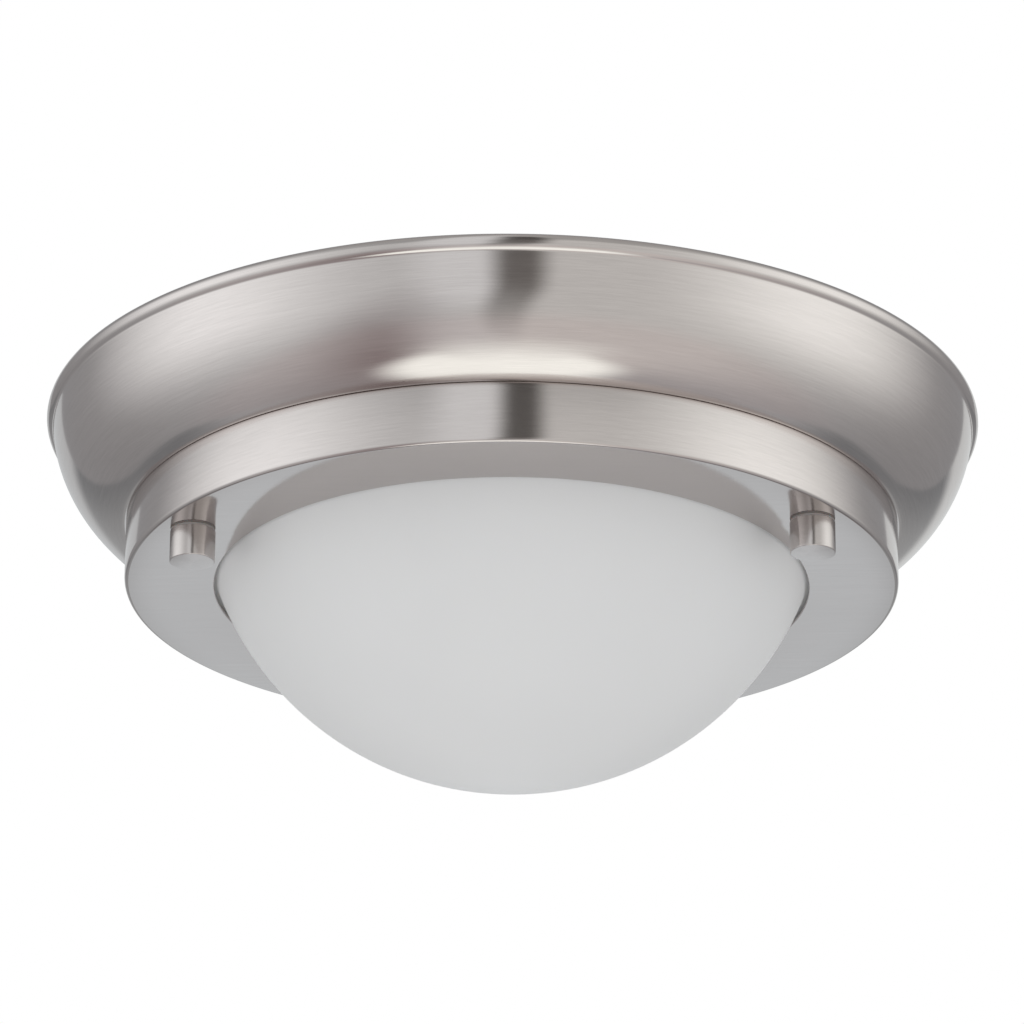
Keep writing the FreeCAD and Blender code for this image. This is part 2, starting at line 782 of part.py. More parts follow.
def make_driver_board():
    """Circuit board with a lead header near each pair of holes."""
    top = board_top_in_driver()
    board = block(0, driver_y, top - driver_board_t,
                  driver_l - 2 * (driver_wall + driver_board_gap),
                  driver_w - 2 * (driver_wall + driver_board_gap), driver_board_t)
    headers = [block(x, header_front() + header_w / 2, top, header_l, header_w, header_h)
               for x in header_places()]
    return board.fuse(headers).removeSplitter()


def make_driver_transformer():
    """Transformer: a wound bobbin between two core halves."""
    top = board_top_in_driver()
    y = driver_y + transformer_back
    x = driver_l / 4
    core_t = transformer_l / 5
    cores = [block(x + s * (transformer_l - core_t) / 2, y, top, core_t, transformer_w, transformer_h)
             for s in (-1, 1)]
    winding = Part.makeCylinder(transformer_h * 0.45, transformer_l - core_t,
                                V(x - (transformer_l - core_t) / 2, y, top + transformer_h / 2), V(1, 0, 0))
    return winding.fuse(cores).removeSplitter()


def make_driver_capacitors():
    """Two standing capacitors."""
    top = board_top_in_driver()
    return group([rod(-driver_l / 4 + s * capacitor_pitch / 2, driver_y + capacitor_back, top,
                      top + capacitor_h, capacitor_r) for s in (-1, 1)])


def make_driver_inductor():
    """Drum-shaped choke with a waist."""
    top = board_top_in_driver()
    flange = inductor_h / 5
    core = turned(outline(
        rz(0, 0), rz(inductor_r, 0), rz(inductor_r, flange), rz(inductor_r * 0.7, flange),
        rz(inductor_r * 0.7, inductor_h - flange), rz(inductor_r, inductor_h - flange),
        rz(inductor_r, inductor_h), rz(0, inductor_h)))
    return core.translated(V(0, driver_y + inductor_back, top))


def make_driver_screws():
    """Screws through the driver ears."""
    return group([screw(p.x, p.y, floor_top + ear_t, floor_low - self_tap_out, small_screw_r, small_head_r,
                        small_head_h) for p in driver_screw_points()])


# Terminal block.
def pole_xs():
    """Middles of the poles along X: earth, neutral and live."""
    return [block_x + pole_pitch * (i - (pole_count - 1) / 2) for i in range(pole_count)]


def make_terminal_base():
    """Insulating plate under the housing and its ears."""
    plate = block(block_x, block_y, floor_top, block_l, block_w, block_base_t)
    ears = block(block_x, block_y, floor_top, block_l + 2 * block_ear_l, block_ear_w, block_base_t)
    plate = plate.fuse(ears)
    holes = [through_floor(p.x, p.y, small_screw_r + lead_fit) for p in block_screw_points()]
    return plate.removeSplitter().cut(holes)


def make_terminal_block():
    """Housing with one cavity, one wire port and one lead entry for each pole."""
    low = floor_top + block_base_t
    body = block(block_x, block_y, low, block_l, block_w, block_h)
    top_edges = [e for e in body.Edges if abs(e.BoundBox.ZMin - low - block_h) < edge_tol]
    body = body.makeFillet(block_edge_r, top_edges)
    ears = block(block_x, block_y, low, block_l + 2 * block_ear_l, block_ear_w, block_ear_t)
    body = body.fuse(ears).removeSplitter()
    cutters = [rod(p.x, p.y, floor_top - past, low + block_ear_t + past, small_screw_r + lead_fit)
               for p in block_screw_points()]
    port_y = block_y - port_back
    top = low + block_h
    for x in pole_xs():
        cutters.append(block(x, block_y, low - past, pole_pitch - 2 * pole_wall, pole_cavity_l,
                             pole_cavity_h + past))
        cutters.append(rod(x, port_y, low + pole_cavity_h - past, top + past, port_r))
        mouth_h = port_mouth_r - port_r
        cutters.append(Part.makeCone(port_r, port_mouth_r, mouth_h, V(x, port_y, top - mouth_h)))
        cutters.append(Part.makeCylinder(supply_lead_r + lead_fit, block_w / 2,
                                         V(x, block_y + block_w / 4, lead_z), V(0, 1, 0)))
    return body.cut(cutters)


def make_terminal_contacts():
    """Bent strips with a spring leaf under each wire port."""
    low = floor_top + block_base_t
    strips = []
    half = pole_cavity_l / 2 - contact_t
    for x in pole_xs():
        base = block(x, block_y, low, contact_w, 2 * half, contact_t)
        post = block(x, block_y + half - contact_t / 2, low, contact_w, contact_t, contact_rise)
        leaf = block(x, 0, 0, contact_w, contact_t, contact_rise)
        leaf.rotate(V(x, 0, 0), V(1, 0, 0), leaf_deg - 90)
        leaf.translate(V(0, block_y - half + contact_t, low + contact_t / 2))
        strips.append(base.fuse([post, leaf]).removeSplitter())
    return group(strips)


def make_terminal_screws():
    """Screws through the ears of the terminal block."""
    head = floor_top + block_base_t + block_ear_t
    return group([screw(p.x, p.y, head, floor_low - self_tap_out, small_screw_r, small_head_r, small_head_h)
                  for p in block_screw_points()])


# Earth screw and ring terminal.
def barrel_z():
    """Height of the ring terminal's barrel axis."""
    return floor_top + supply_lead_r + lead_fit / 2 + barrel_wall


def make_earth_screw():
    """Screw through the ring terminal and the floor."""
    tip = floor_low - earth_nut_h - earth_screw_out
    return screw(earth_x, earth_y, floor_top + ring_t, tip, earth_screw_r, earth_head_r, earth_head_h)


def make_earth_nut():
    """Nut under the floor."""
    return hex_nut(earth_x, earth_y, floor_low - earth_nut_h, earth_nut_af, earth_nut_h,
                   earth_screw_r + thread_fit)


def make_earth_ring_terminal():
    """Flat ring with a tongue and a crimped barrel."""
    bore = supply_lead_r + lead_fit / 2
    ring = rod(earth_x, earth_y, floor_top, floor_top + ring_t, ring_r)
    tongue = Part.makeBox(barrel_start + barrel_root, 2 * bore, ring_t,
                          V(earth_x, earth_y - bore, floor_top))
    barrel = Part.makeCylinder(bore + barrel_wall, barrel_l, V(earth_x + barrel_start, earth_y, barrel_z()),
                               V(1, 0, 0))
    body = ring.fuse([tongue, barrel]).removeSplitter()
    mouth = V(earth_x + barrel_start + barrel_root, earth_y, barrel_z())
    inside = Part.makeCylinder(bore, barrel_l, mouth, V(1, 0, 0))
    return body.cut([inside, rod(earth_x, earth_y, floor_top - past, floor_top + ring_t + past,
                                 earth_screw_r + screw_fit)])


# Leads, all held by the light from end to end.
def supply_places():
    """Where the neutral and live leads enter the driver: X and lead radius."""
    return [(x, supply_lead_r) for x in pole_xs()[1:]]


def led_lead_places():
    """Where the two light board leads leave the driver: X and lead radius."""
    return [(s * led_lead_pitch / 2, led_lead_r) for s in (-1, 1)]


def lead(name, points, radius):
    """Round lead along straight runs joined by tangent arcs."""
    edges = []
    here = points[0]
    radii = []
    for before, corner, after in zip(points, points[1:], points[2:]):
        back = before - corner
        on = after - corner
        turn = math.pi - back.getAngle(on)
        cut = lead_bend_share * min(back.Length, on.Length)
        radii.append(cut / math.tan(turn / 2))
        start = corner + back * (cut / back.Length)
        end = corner + on * (cut / on.Length)
        bisector = (back * (1 / back.Length) + on * (1 / on.Length)).normalize()
        sagitta = radii[-1] * (1 / math.cos(turn / 2) - 1)
        edges.append(Part.makeLine(here, start))
        edges.append(Part.Arc(start, corner + bisector * sagitta, end).toShape())
        here = end
    edges.append(Part.makeLine(here, points[-1]))
    path = Part.Wire(edges)
    section = Part.Wire(Part.makeCircle(radius, points[0], points[1] - points[0]))
    tube = path.makePipeShell([section], True, False)
    expected = math.pi * radius ** 2 * path.Length
    print(f"{name}: length {path.Length:.1f}, radii {[round(r, 1) for r in radii]}, "
          f"volume {tube.Volume:.1f} of {expected:.1f}")
    return tube


def make_supply_lead(name, x, bow):
    """Lead from a pole of the terminal block to the driver header, bowed to one side."""
    start_y = block_y + pole_cavity_l / 2 - contact_t
    end_y = header_front()
    out_y = block_y + block_w / 2
    in_y = driver_y - driver_w / 2
    span = in_y - out_y
    points = [V(x, start_y, lead_z), V(x, out_y + span * 0.12, lead_z),
              V(x + bow, out_y + span * 0.36, lead_z - lead_sag),
              V(x + bow, out_y + span * 0.64, lead_z - lead_sag),
              V(x, out_y + span * 0.88, lead_z), V(x, end_y, lead_z)]
    return lead(name, points, supply_lead_r)


def make_earth_lead():
    """Lead from the earth pole to the ring terminal."""
    x = pole_xs()[0]
    start_y = block_y + pole_cavity_l / 2 - contact_t
    out_y = block_y + block_w / 2
    barrel_x = earth_x + barrel_start
    points = [V(x, start_y, lead_z), V(x, out_y + earth_out, lead_z),
              V(x - earth_side, earth_y + earth_back, (lead_z + barrel_z()) / 2),
              V(barrel_x + barrel_l + earth_in, earth_y, barrel_z()),
              V(barrel_x + barrel_seat, earth_y, barrel_z())]
    return lead("lead_earth", points, supply_lead_r)


def make_led_lead(name, x):
    """Lead from the driver header down through the grommet into the light board connector."""
    points = [V(x, header_front(), lead_z), V(x, 0, lead_z), V(x, 0, board_low - connector_h * 0.6)]
    return lead(name, points, led_lead_r)


def make_all():
    """Every node by name."""
    live_x = pole_xs()[2]
    neutral_x = pole_xs()[1]
    nodes = {
        "mounting_strap": make_mounting_strap(),
        "strap_ground_screw": make_strap_ground_screw(),
        "fixture_screws": make_fixture_screws(),
        "pan": make_pan(),
        "cover_studs": make_cover_studs(),
        "stud_lock_nuts": make_stud_lock_nuts(),
        "wire_grommet": make_wire_grommet(),
        "driver_case": make_driver_case(),
        "driver_lid": make_driver_lid(),
        "driver_board": make_driver_board(),
        "driver_transformer": make_driver_transformer(),
        "driver_capacitors": make_driver_capacitors(),
        "driver_inductor": make_driver_inductor(),
        "driver_screws": make_driver_screws(),
        "terminal_base": make_terminal_base(),
        "terminal_block": make_terminal_block(),
        "terminal_contacts": make_terminal_contacts(),
        "terminal_screws": make_terminal_screws(),
        "earth_screw": make_earth_screw(),
        "earth_nut": make_earth_nut(),
        "earth_ring_terminal": make_earth_ring_terminal(),
        "lead_live": make_supply_lead("lead_live", live_x, live_bow),
        "lead_neutral": make_supply_lead("lead_neutral", neutral_x, neutral_bow),
        "lead_earth": make_earth_lead(),
        "lead_led_plus": make_led_lead("lead_led_plus", led_lead_pitch / 2),
        "lead_led_minus": make_led_lead("lead_led_minus", -led_lead_pitch / 2),
        "led_tray": make_led_tray(),
        "led_tray_screws": make_led_tray_screws(),
        "led_board": make_led_board(),
        "led_board_screws": make_led_board_screws(),
        "led_packages": make_led_packages(),
        "led_connector": make_led_connector(),
        "drum_cover": make_drum_cover(),
        "glass_shade": make_glass_shade(),
        "glass_gasket": make_glass_gasket(),
        "clip_weld_studs": make_clip_weld_studs(),
        "clip_nuts": make_clip_nuts(),
    }
    for number, deg in enumerate(clip_degs, 1):
        nodes[f"glass_clip_{number}"] = make_glass_clip(deg)
    for number, deg in enumerate(stud_degs, 1):
        nodes[f"nut_washer_{number}"] = make_nut_washer(deg)
        nodes[f"thumb_nut_{number}"] = make_thumb_nut(deg)
    return nodes


os.makedirs("parts", exist_ok=True)
for node_name, shape in make_all().items():
    shape.exportStep(f"parts/{node_name}.step")
    print(f"{node_name}: {len(shape.Solids)} solids, valid {shape.isValid()}, volume {shape.Volume:.1f}")
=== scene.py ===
"""Looks of a flush mount ceiling light: a spun nickel pan, a drum cover, an opal glass and its wiring side.

Metres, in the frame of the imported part. The origin is the middle of the ceiling plane and +Z points up
into the ceiling, so the light hangs below z = 0. Sizes written in millimetres are turned to metres by MM.
"""
import logging
import math
from dataclasses import dataclass
from enum import Enum
from functools import reduce
from typing import Iterable, Sequence

import bmesh
import bpy
from mathutils import Matrix, Vector


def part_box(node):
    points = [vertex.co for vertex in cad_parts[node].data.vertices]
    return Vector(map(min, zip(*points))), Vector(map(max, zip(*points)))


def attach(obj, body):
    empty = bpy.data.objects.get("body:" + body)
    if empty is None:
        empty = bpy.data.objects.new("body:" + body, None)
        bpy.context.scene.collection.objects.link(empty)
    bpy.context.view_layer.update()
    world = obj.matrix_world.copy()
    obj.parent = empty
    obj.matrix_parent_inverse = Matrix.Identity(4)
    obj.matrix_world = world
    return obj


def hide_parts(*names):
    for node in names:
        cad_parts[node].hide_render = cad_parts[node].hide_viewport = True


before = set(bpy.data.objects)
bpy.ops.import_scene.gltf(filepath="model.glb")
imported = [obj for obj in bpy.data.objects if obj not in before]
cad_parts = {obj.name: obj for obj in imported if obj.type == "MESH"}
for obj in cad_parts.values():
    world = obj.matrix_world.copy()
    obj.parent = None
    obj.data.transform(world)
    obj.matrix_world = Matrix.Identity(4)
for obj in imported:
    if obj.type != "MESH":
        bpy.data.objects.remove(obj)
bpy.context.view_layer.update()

LOG = logging.getLogger("ceiling_light")
MM = 0.001

# Heights of the two faces of the pan's floor, of the cover's face plate, and of the light board's lower face.
FLOOR_LOW, FLOOR_TOP = -28.9, -28.1
FACE_LOW, FACE_TOP = -43.85, -43.05
BOARD_LOW = -35.3

# The studs of the cover stand on a circle about the light's axis.
STUD_CIRCLE = 85.0
STUD_DEGS = (-30.0, 90.0, 210.0)

# Bores: free round an 8-32 screw, tight round one, and for a self-tapping screw.
FREE_R, TIGHT_R, PILOT_R = 2.435, 2.135, 1.55

# Points nearer than this are one point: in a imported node, in a made mesh, and along a thread. Metres.
NODE_MERGE, MERGE, THREAD_MERGE = 1e-6, 2e-6, 4e-6

BLACK, WHITE = (0.0, 0.0, 0.0), (1.0, 1.0, 1.0)

Mesh = bmesh.types.BMesh
Edge = bmesh.types.BMEdge
Socket = bpy.types.NodeSocket
Triple = tuple[float, float, float]  # a colour, a place or an arc


class Body(Enum):
    """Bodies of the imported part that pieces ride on."""

    FIXTURE = "fixture"
    COVER = "cover"
    WASHER_1 = "washer_1"
    WASHER_2 = "washer_2"
    WASHER_3 = "washer_3"
    NUT_1 = "nut_1"
    NUT_2 = "nut_2"
    NUT_3 = "nut_3"


class Grain(Enum):
    """Lay of the fine lines that the brush leaves in a nickel piece."""

    PAN = "pan"  # round the light's axis
    DRUM = "drum"  # round the light's axis on the wall, straight on the face plate
    KNOB = "knob"  # round the piece's own upright axis


class Drive(Enum):
    """Recess in a screw head."""

    CROSS = "cross"
    COMBINED = "cross and slot"


# ---- Shader nodes ----


class Shader:
    """Node tree of one material or world, with short ways to add and join nodes."""

    def __init__(self, owner: bpy.types.ID) -> None:
        """Takes over a node tree.

        Args:
            owner: Material or world whose tree is emptied and filled again.
        """
        owner.use_nodes = True
        self.tree = owner.node_tree
        self.tree.nodes.clear()

    def node(self, kind: str, links: dict, **settings: object) -> bpy.types.Node:
        """Adds a node.

        Args:
            kind: Blender's name of the node type.
            links: Sockets or plain values for its inputs, by name or number. None leaves an input as it is.
            settings: Properties of the node itself.

        Returns:
            The new node.
        """
        made = self.tree.nodes.new(kind)
        for name, value in settings.items():
            setattr(made, name, value)
        for key, value in links.items():
            if isinstance(value, Socket):
                self.tree.links.new(value, made.inputs[key])
            elif value is not None:
                socket = made.inputs[key]
                socket.default_value = (*value, 1.0) if socket.type == "RGBA" else value
        return made

    def math(self, operation: str, *values: object) -> Socket:
        """Result of a math node, from numbers or sockets in their order."""
        return self.node("ShaderNodeMath", dict(enumerate(values)), operation=operation).outputs[0]

    def times(self, *values: object) -> Socket:
        """Product of numbers or sockets."""
        return reduce(lambda first, second: self.math("MULTIPLY", first, second), values)

    def away(self, value: object, middle: object) -> Socket:
        """How far a value is from a middle, to either side."""
        return self.math("ABSOLUTE", self.math("SUBTRACT", value, middle))

    def vector(self, operation: str, *values: object) -> Socket:
        """Result of a vector math node, from vectors or sockets in their order."""
        made = self.node("ShaderNodeVectorMath", dict(enumerate(values)), operation=operation)
        return made.outputs["Value" if operation == "LENGTH" else "Vector"]

    def xyz(self, vector: Socket) -> Sequence[Socket]:
        """The three parts of a vector."""
        return self.node("ShaderNodeSeparateXYZ", {0: vector}).outputs

    def place(self) -> Socket:
        """Object coordinates, in metres."""
        return self.node("ShaderNodeTexCoord", {}).outputs["Object"]

    def noise(self, where: Socket, waves: float, octaves: float = 2.0, fine: float = 0.5,
              w: object = None) -> Socket:
        """Smooth noise.

        Args:
            where: Place to read it at.
            waves: Waves per metre.
            octaves: Finer octaves in it.
            fine: Share of the finer octaves.
            w: Fourth coordinate, if there is one.

        Returns:
            Value from 0 to 1.
        """
        links = {"Vector": where, "Scale": waves, "Detail": octaves, "Roughness": fine, "W": w}
        kind = "3D" if w is None else "4D"
        return self.node("ShaderNodeTexNoise", links, noise_dimensions=kind).outputs[0]

    def stretched(self, where: Socket, waves: Triple, octaves: float, fine: float) -> Socket:
        """Noise with its own number of waves per metre along each axis."""
        return self.noise(self.vector("MULTIPLY", where, waves), 1.0, octaves, fine)

    def fade(self, value: object, start: float, end: float, low: float = 0.0, high: float = 1.0) -> Socket:
        """Value that eases from low to high while another one goes, up or down, from start to end."""
        links = {0: value, 1: start, 2: end, 3: low, 4: high}
        return self.node("ShaderNodeMapRange", links, interpolation_type="SMOOTHSTEP").outputs[0]

    def about(self, cloud: Socket, middle: float, less: float, more: float) -> Socket:
        """Value that a noise takes a little below or above a middle one."""
        return self.fade(cloud, 0.3, 0.7, middle - less, middle + more)

    def choose(self, share: object, first: object, second: object) -> Socket:
        """Mix of two numbers, by the share of the second."""
        return self.node("ShaderNodeMix", {0: share, 2: first, 3: second}).outputs[0]

    def blend(self, share: object, first: object, second: object) -> Socket:
        """Mix of two colours, by the share of the second."""
        return self.node("ShaderNodeMix", {0: share, 6: first, 7: second}, data_type="RGBA").outputs[2]

    def tints(self, share: Socket, colour: Triple, low: float, high: float) -> Socket:
        """Colour between two tints of its own, by the share of the second."""
        return self.blend(share, tinted(colour, low), tinted(colour, high))

    def mottled(self, cloud: Socket, colour: Triple, low: float, high: float) -> Socket:
        """Colour that drifts between two tints of its own with a noise."""
        return self.tints(self.fade(cloud, 0.3, 0.7), colour, low, high)

    def bump(self, height: Socket, depth: float, strength: float, normal: Socket | None = None) -> Socket:
        """Normal bent by a height from 0 to 1, with the depth of the relief in metres."""
        links = {"Height": height, "Distance": depth, "Strength": strength, "Normal": normal}
        return self.node("ShaderNodeBump", links).outputs[0]

    def surface(self, links: dict) -> None:
        """Principled surface with these inputs, joined to the output."""
        made = self.node("ShaderNodeBsdfPrincipled", links)
        self.node("ShaderNodeOutputMaterial", {0: made.outputs[0]})


def tinted(colour: Triple, factor: float) -> Triple:
    """Colour made lighter or darker."""
    return tuple(min(1.0, channel * factor) for channel in colour)


# ---- Finishes ----


@dataclass(frozen=True)
class Finish:
    """Finish of one material slot of the record."""

    slot: str
    colour: Triple

    def name(self) -> str:
        """Name of the material."""
        return f"{self.slot}_finish"

    def material(self) -> bpy.types.Material:
        """Material of this finish, made once.

        Returns:
            The material.
        """
        found = bpy.data.materials.get(self.name())
        if found is None:
            found = bpy.data.materials.new(self.name())
            self.fill(Shader(found))
        return found

    def fill(self, shader: Shader) -> None:
        """Adds the nodes of the finish to an empty tree."""
        raise NotImplementedError


@dataclass(frozen=True)
class BrushedNickel(Finish):
    """Satin nickel over steel, brushed while it turns.

    Lines are counted per metre. The contrast is theirs, broad_share is the part of it that the broad ones
    have, and plate_shade is how much darker the face plate is.
    """

    grain: Grain
    roughness: float
    contrast: float = 0.075
    broad_share: float = 0.35
    fine_lines: float = 6500.0
    broad_lines: float = 1500.0
    plate_lines: float = 5200.0
    knob_lines: float = 9000.0
    plate_shade: float = 0.14

    def name(self) -> str:
        """Name of the material."""
        return f"{self.slot}_{self.grain.value}"

    def turned(self, shader: Shader, where: Socket, lines: float, spread: float) -> Socket:
        """Lines round the Z axis, without a seam.

        Args:
            shader: Node tree.
            where: Object coordinates.
            lines: Lines per metre across the lay.
            spread: How quickly a line changes along its length.

        Returns:
            Value from 0 to 1.
        """
        flat = shader.vector("MULTIPLY", where, (1, 1, 0))
        along = shader.vector("MULTIPLY", shader.vector("NORMALIZE", flat), (spread, spread, spread))
        outward = shader.times(shader.vector("LENGTH", flat), lines)
        across = shader.node("ShaderNodeCombineXYZ", {2: outward}).outputs[0]
        upward = shader.times(shader.xyz(where)[2], lines)
        return shader.noise(shader.vector("ADD", along, across), 1.0, 4.0, 0.65, upward)

    def fill(self, shader: Shader) -> None:
        """Adds the nodes of the finish.

        Args:
            shader: Empty node tree.
        """
        where = shader.place()
        facing = shader.node("ShaderNodeNewGeometry", {}).outputs["Normal"]
        if self.grain is Grain.KNOB:
            lines = shader.stretched(where, (500, 500, self.knob_lines), 3.0, 0.6)
            broad = shader.noise(where, 2400.0)
            tilted = shader.vector("ADD", facing, (0.001, 0.0, 0.0))
            tangent = shader.vector("NORMALIZE", shader.vector("CROSS_PRODUCT", (0, 0, 1), tilted))
        else:
            lines = self.turned(shader, where, self.fine_lines, 16.0)
            broad = self.turned(shader, where, self.broad_lines, 7.0)
            tangent = shader.node("ShaderNodeTangent", {}, direction_type="RADIAL", axis="Z").outputs[0]
        on_plate = None
        if self.grain is Grain.DRUM:
            on_plate = shader.fade(shader.xyz(facing)[2], -0.9, -0.99)
            plate = shader.stretched(where, (60, self.plate_lines, 60), 4.0, 0.65)
            lines = shader.choose(on_plate, lines, plate)
            broad = shader.choose(on_plate, broad, 0.5)
            straight = {0: on_plate, 4: tangent, 5: (0.0, 1.0, 0.0)}
            tangent = shader.node("ShaderNodeMix", straight, data_type="VECTOR").outputs[1]
        cloud = shader.noise(where, 28.0, 3.0)
        streaks = shader.math("ADD", shader.fade(lines, 0.25, 0.75, 0.0, 1.0 - self.broad_share),
                              shader.fade(broad, 0.3, 0.7, 0.0, self.broad_share))
        tone = shader.tints(streaks, self.colour, 0.99 - self.contrast, 0.99 + self.contrast)
        tone = shader.blend(shader.fade(cloud, 0.3, 0.7, 0.0, 0.35), tone, tinted(self.colour, 0.97))
        if on_plate is not None:
            tone = shader.blend(shader.times(on_plate, self.plate_shade), tone, BLACK)
        rough = shader.math("ADD", shader.about(cloud, self.roughness, 0.012, 0.02),
                            shader.fade(lines, 0.2, 0.8, -0.02, 0.03))
        relief = shader.bump(broad, 0.000004, 0.4, shader.bump(lines, 0.000003, 0.5))
        shader.surface({"Base Color": tone, "Metallic": 1.0, "Roughness": rough, "Normal": relief,
                        "Anisotropic": 0.6, "Anisotropic Rotation": 0.25, "Tangent": tangent})


@dataclass(frozen=True)
class OpalGlass(Finish):
    """White opal glass with a satin etched face."""

    def fill(self, shader: Shader) -> None:
        """Adds the nodes of the finish.

        Args:
            shader: Empty node tree.
        """
        where = shader.place()
        etch = shader.noise(where, 3800.0, 2.0, 0.6)
        tone = shader.mottled(shader.noise(where, 16.0, 3.0), self.colour, 0.985, 1.01)
        shader.surface({"Base Color": tone, "Roughness": shader.fade(etch, 0.3, 0.7, 0.42, 0.52),
                        "IOR": 1.5, "Specular IOR Level": 0.35, "Subsurface Weight": 0.25,
                        "Subsurface Scale": 0.004, "Subsurface Radius": (1.0, 1.0, 0.9),
                        "Normal": shader.bump(etch, 0.000003, 0.5)})


@dataclass(frozen=True)
class PlatedMetal(Finish):
    """Bright plating over pressed or turned metal."""

    roughness: float
    spangle: float
    metallic: float = 1.0

    def fill(self, shader: Shader) -> None:
        """Adds the nodes of the finish.

        Args:
            shader: Empty node tree.
        """
        where = shader.place()
        crystals = shader.node("ShaderNodeTexVoronoi", {"Vector": where, "Scale": 420.0}).outputs["Color"]
        facet = shader.node("ShaderNodeSeparateColor", {0: crystals}).outputs[0]
        haze = shader.noise(where, 160.0, 4.0, 0.6)
        scratch = shader.stretched(where, (900, 5200, 2600), 3.0, 0.6)
        tone = shader.tints(facet, self.colour, 1 - self.spangle, 1 + self.spangle)
        tone = shader.blend(shader.fade(haze, 0.45, 0.8, 0.0, 0.5), tone, tinted(self.colour, 0.86))
        rough = shader.math("ADD", shader.about(haze, self.roughness, 0.05, 0.08),
                            shader.fade(facet, 0.0, 1.0, -0.02, 0.03))
        shader.surface({"Base Color": tone, "Metallic": self.metallic, "Roughness": rough,
                        "Normal": shader.bump(scratch, 0.000005, 0.6)})


@dataclass(frozen=True)
class Paint(Finish):
    """Sprayed or screened coat with a fine orange peel. A board has tracks under it, in rings."""

    roughness: float
    peel_scale: float = 1500.0
    peel: float = 0.00001
    rings: tuple[float, ...] = ()

    def fill(self, shader: Shader) -> None:
        """Adds the nodes of the finish.

        Args:
            shader: Empty node tree.
        """
        where = shader.place()
        height = peel = shader.noise(where, self.peel_scale)
        tone = shader.mottled(shader.noise(where, 60.0, 3.0), self.colour, 0.97, 1.02)
        if self.rings:
            track = self.tracks(shader, where)
            tone = shader.blend(shader.times(track, 0.55), tone, tinted(self.colour, 0.9))
            height = shader.math("ADD", shader.times(peel, 0.25), shader.times(track, 2.0))
        shader.surface({"Base Color": tone, "Roughness": shader.about(peel, self.roughness, 0.04, 0.05),
                        "IOR": 1.5, "Normal": shader.bump(height, self.peel, 0.6)})

    def tracks(self, shader: Shader, where: Socket) -> Socket:
        """Copper tracks that show through a board's mask, in rings round the Z axis.

        Args:
            shader: Node tree.
            where: Object coordinates.

        Returns:
            One on a track and nought beside it.
        """
        radius = shader.vector("LENGTH", shader.vector("MULTIPLY", where, (1, 1, 0)))
        total: object = 0.0
        for ring in self.rings:
            off = shader.away(radius, ring * MM)
            total = shader.math("MAXIMUM", total, shader.fade(off, 2.7 * MM, 2.55 * MM))
            total = shader.times(total, shader.fade(off, 0.18 * MM, 0.3 * MM))
        return total


@dataclass(frozen=True)
class Moulded(Finish):
    """Moulded plastic or rubber with a spark-eroded texture, whose depth is in metres."""

    roughness: float
    depth: float
    texture_scale: float = 2400.0
    sheen: float = 0.0
    glow: float = 0.0

    def fill(self, shader: Shader) -> None:
        """Adds the nodes of the finish.

        Args:
            shader: Empty node tree.
        """
        where = shader.place()
        pits = shader.noise(where, self.texture_scale, 3.0, 0.6)
        tone = shader.mottled(shader.noise(where, 45.0), self.colour, 0.95, 1.04)
        shader.surface({"Base Color": tone, "Roughness": shader.about(pits, self.roughness, 0.05, 0.07),
                        "IOR": 1.48, "Sheen Weight": self.sheen, "Subsurface Weight": self.glow,
                        "Subsurface Scale": 0.001, "Normal": shader.bump(pits, self.depth, 0.5)})


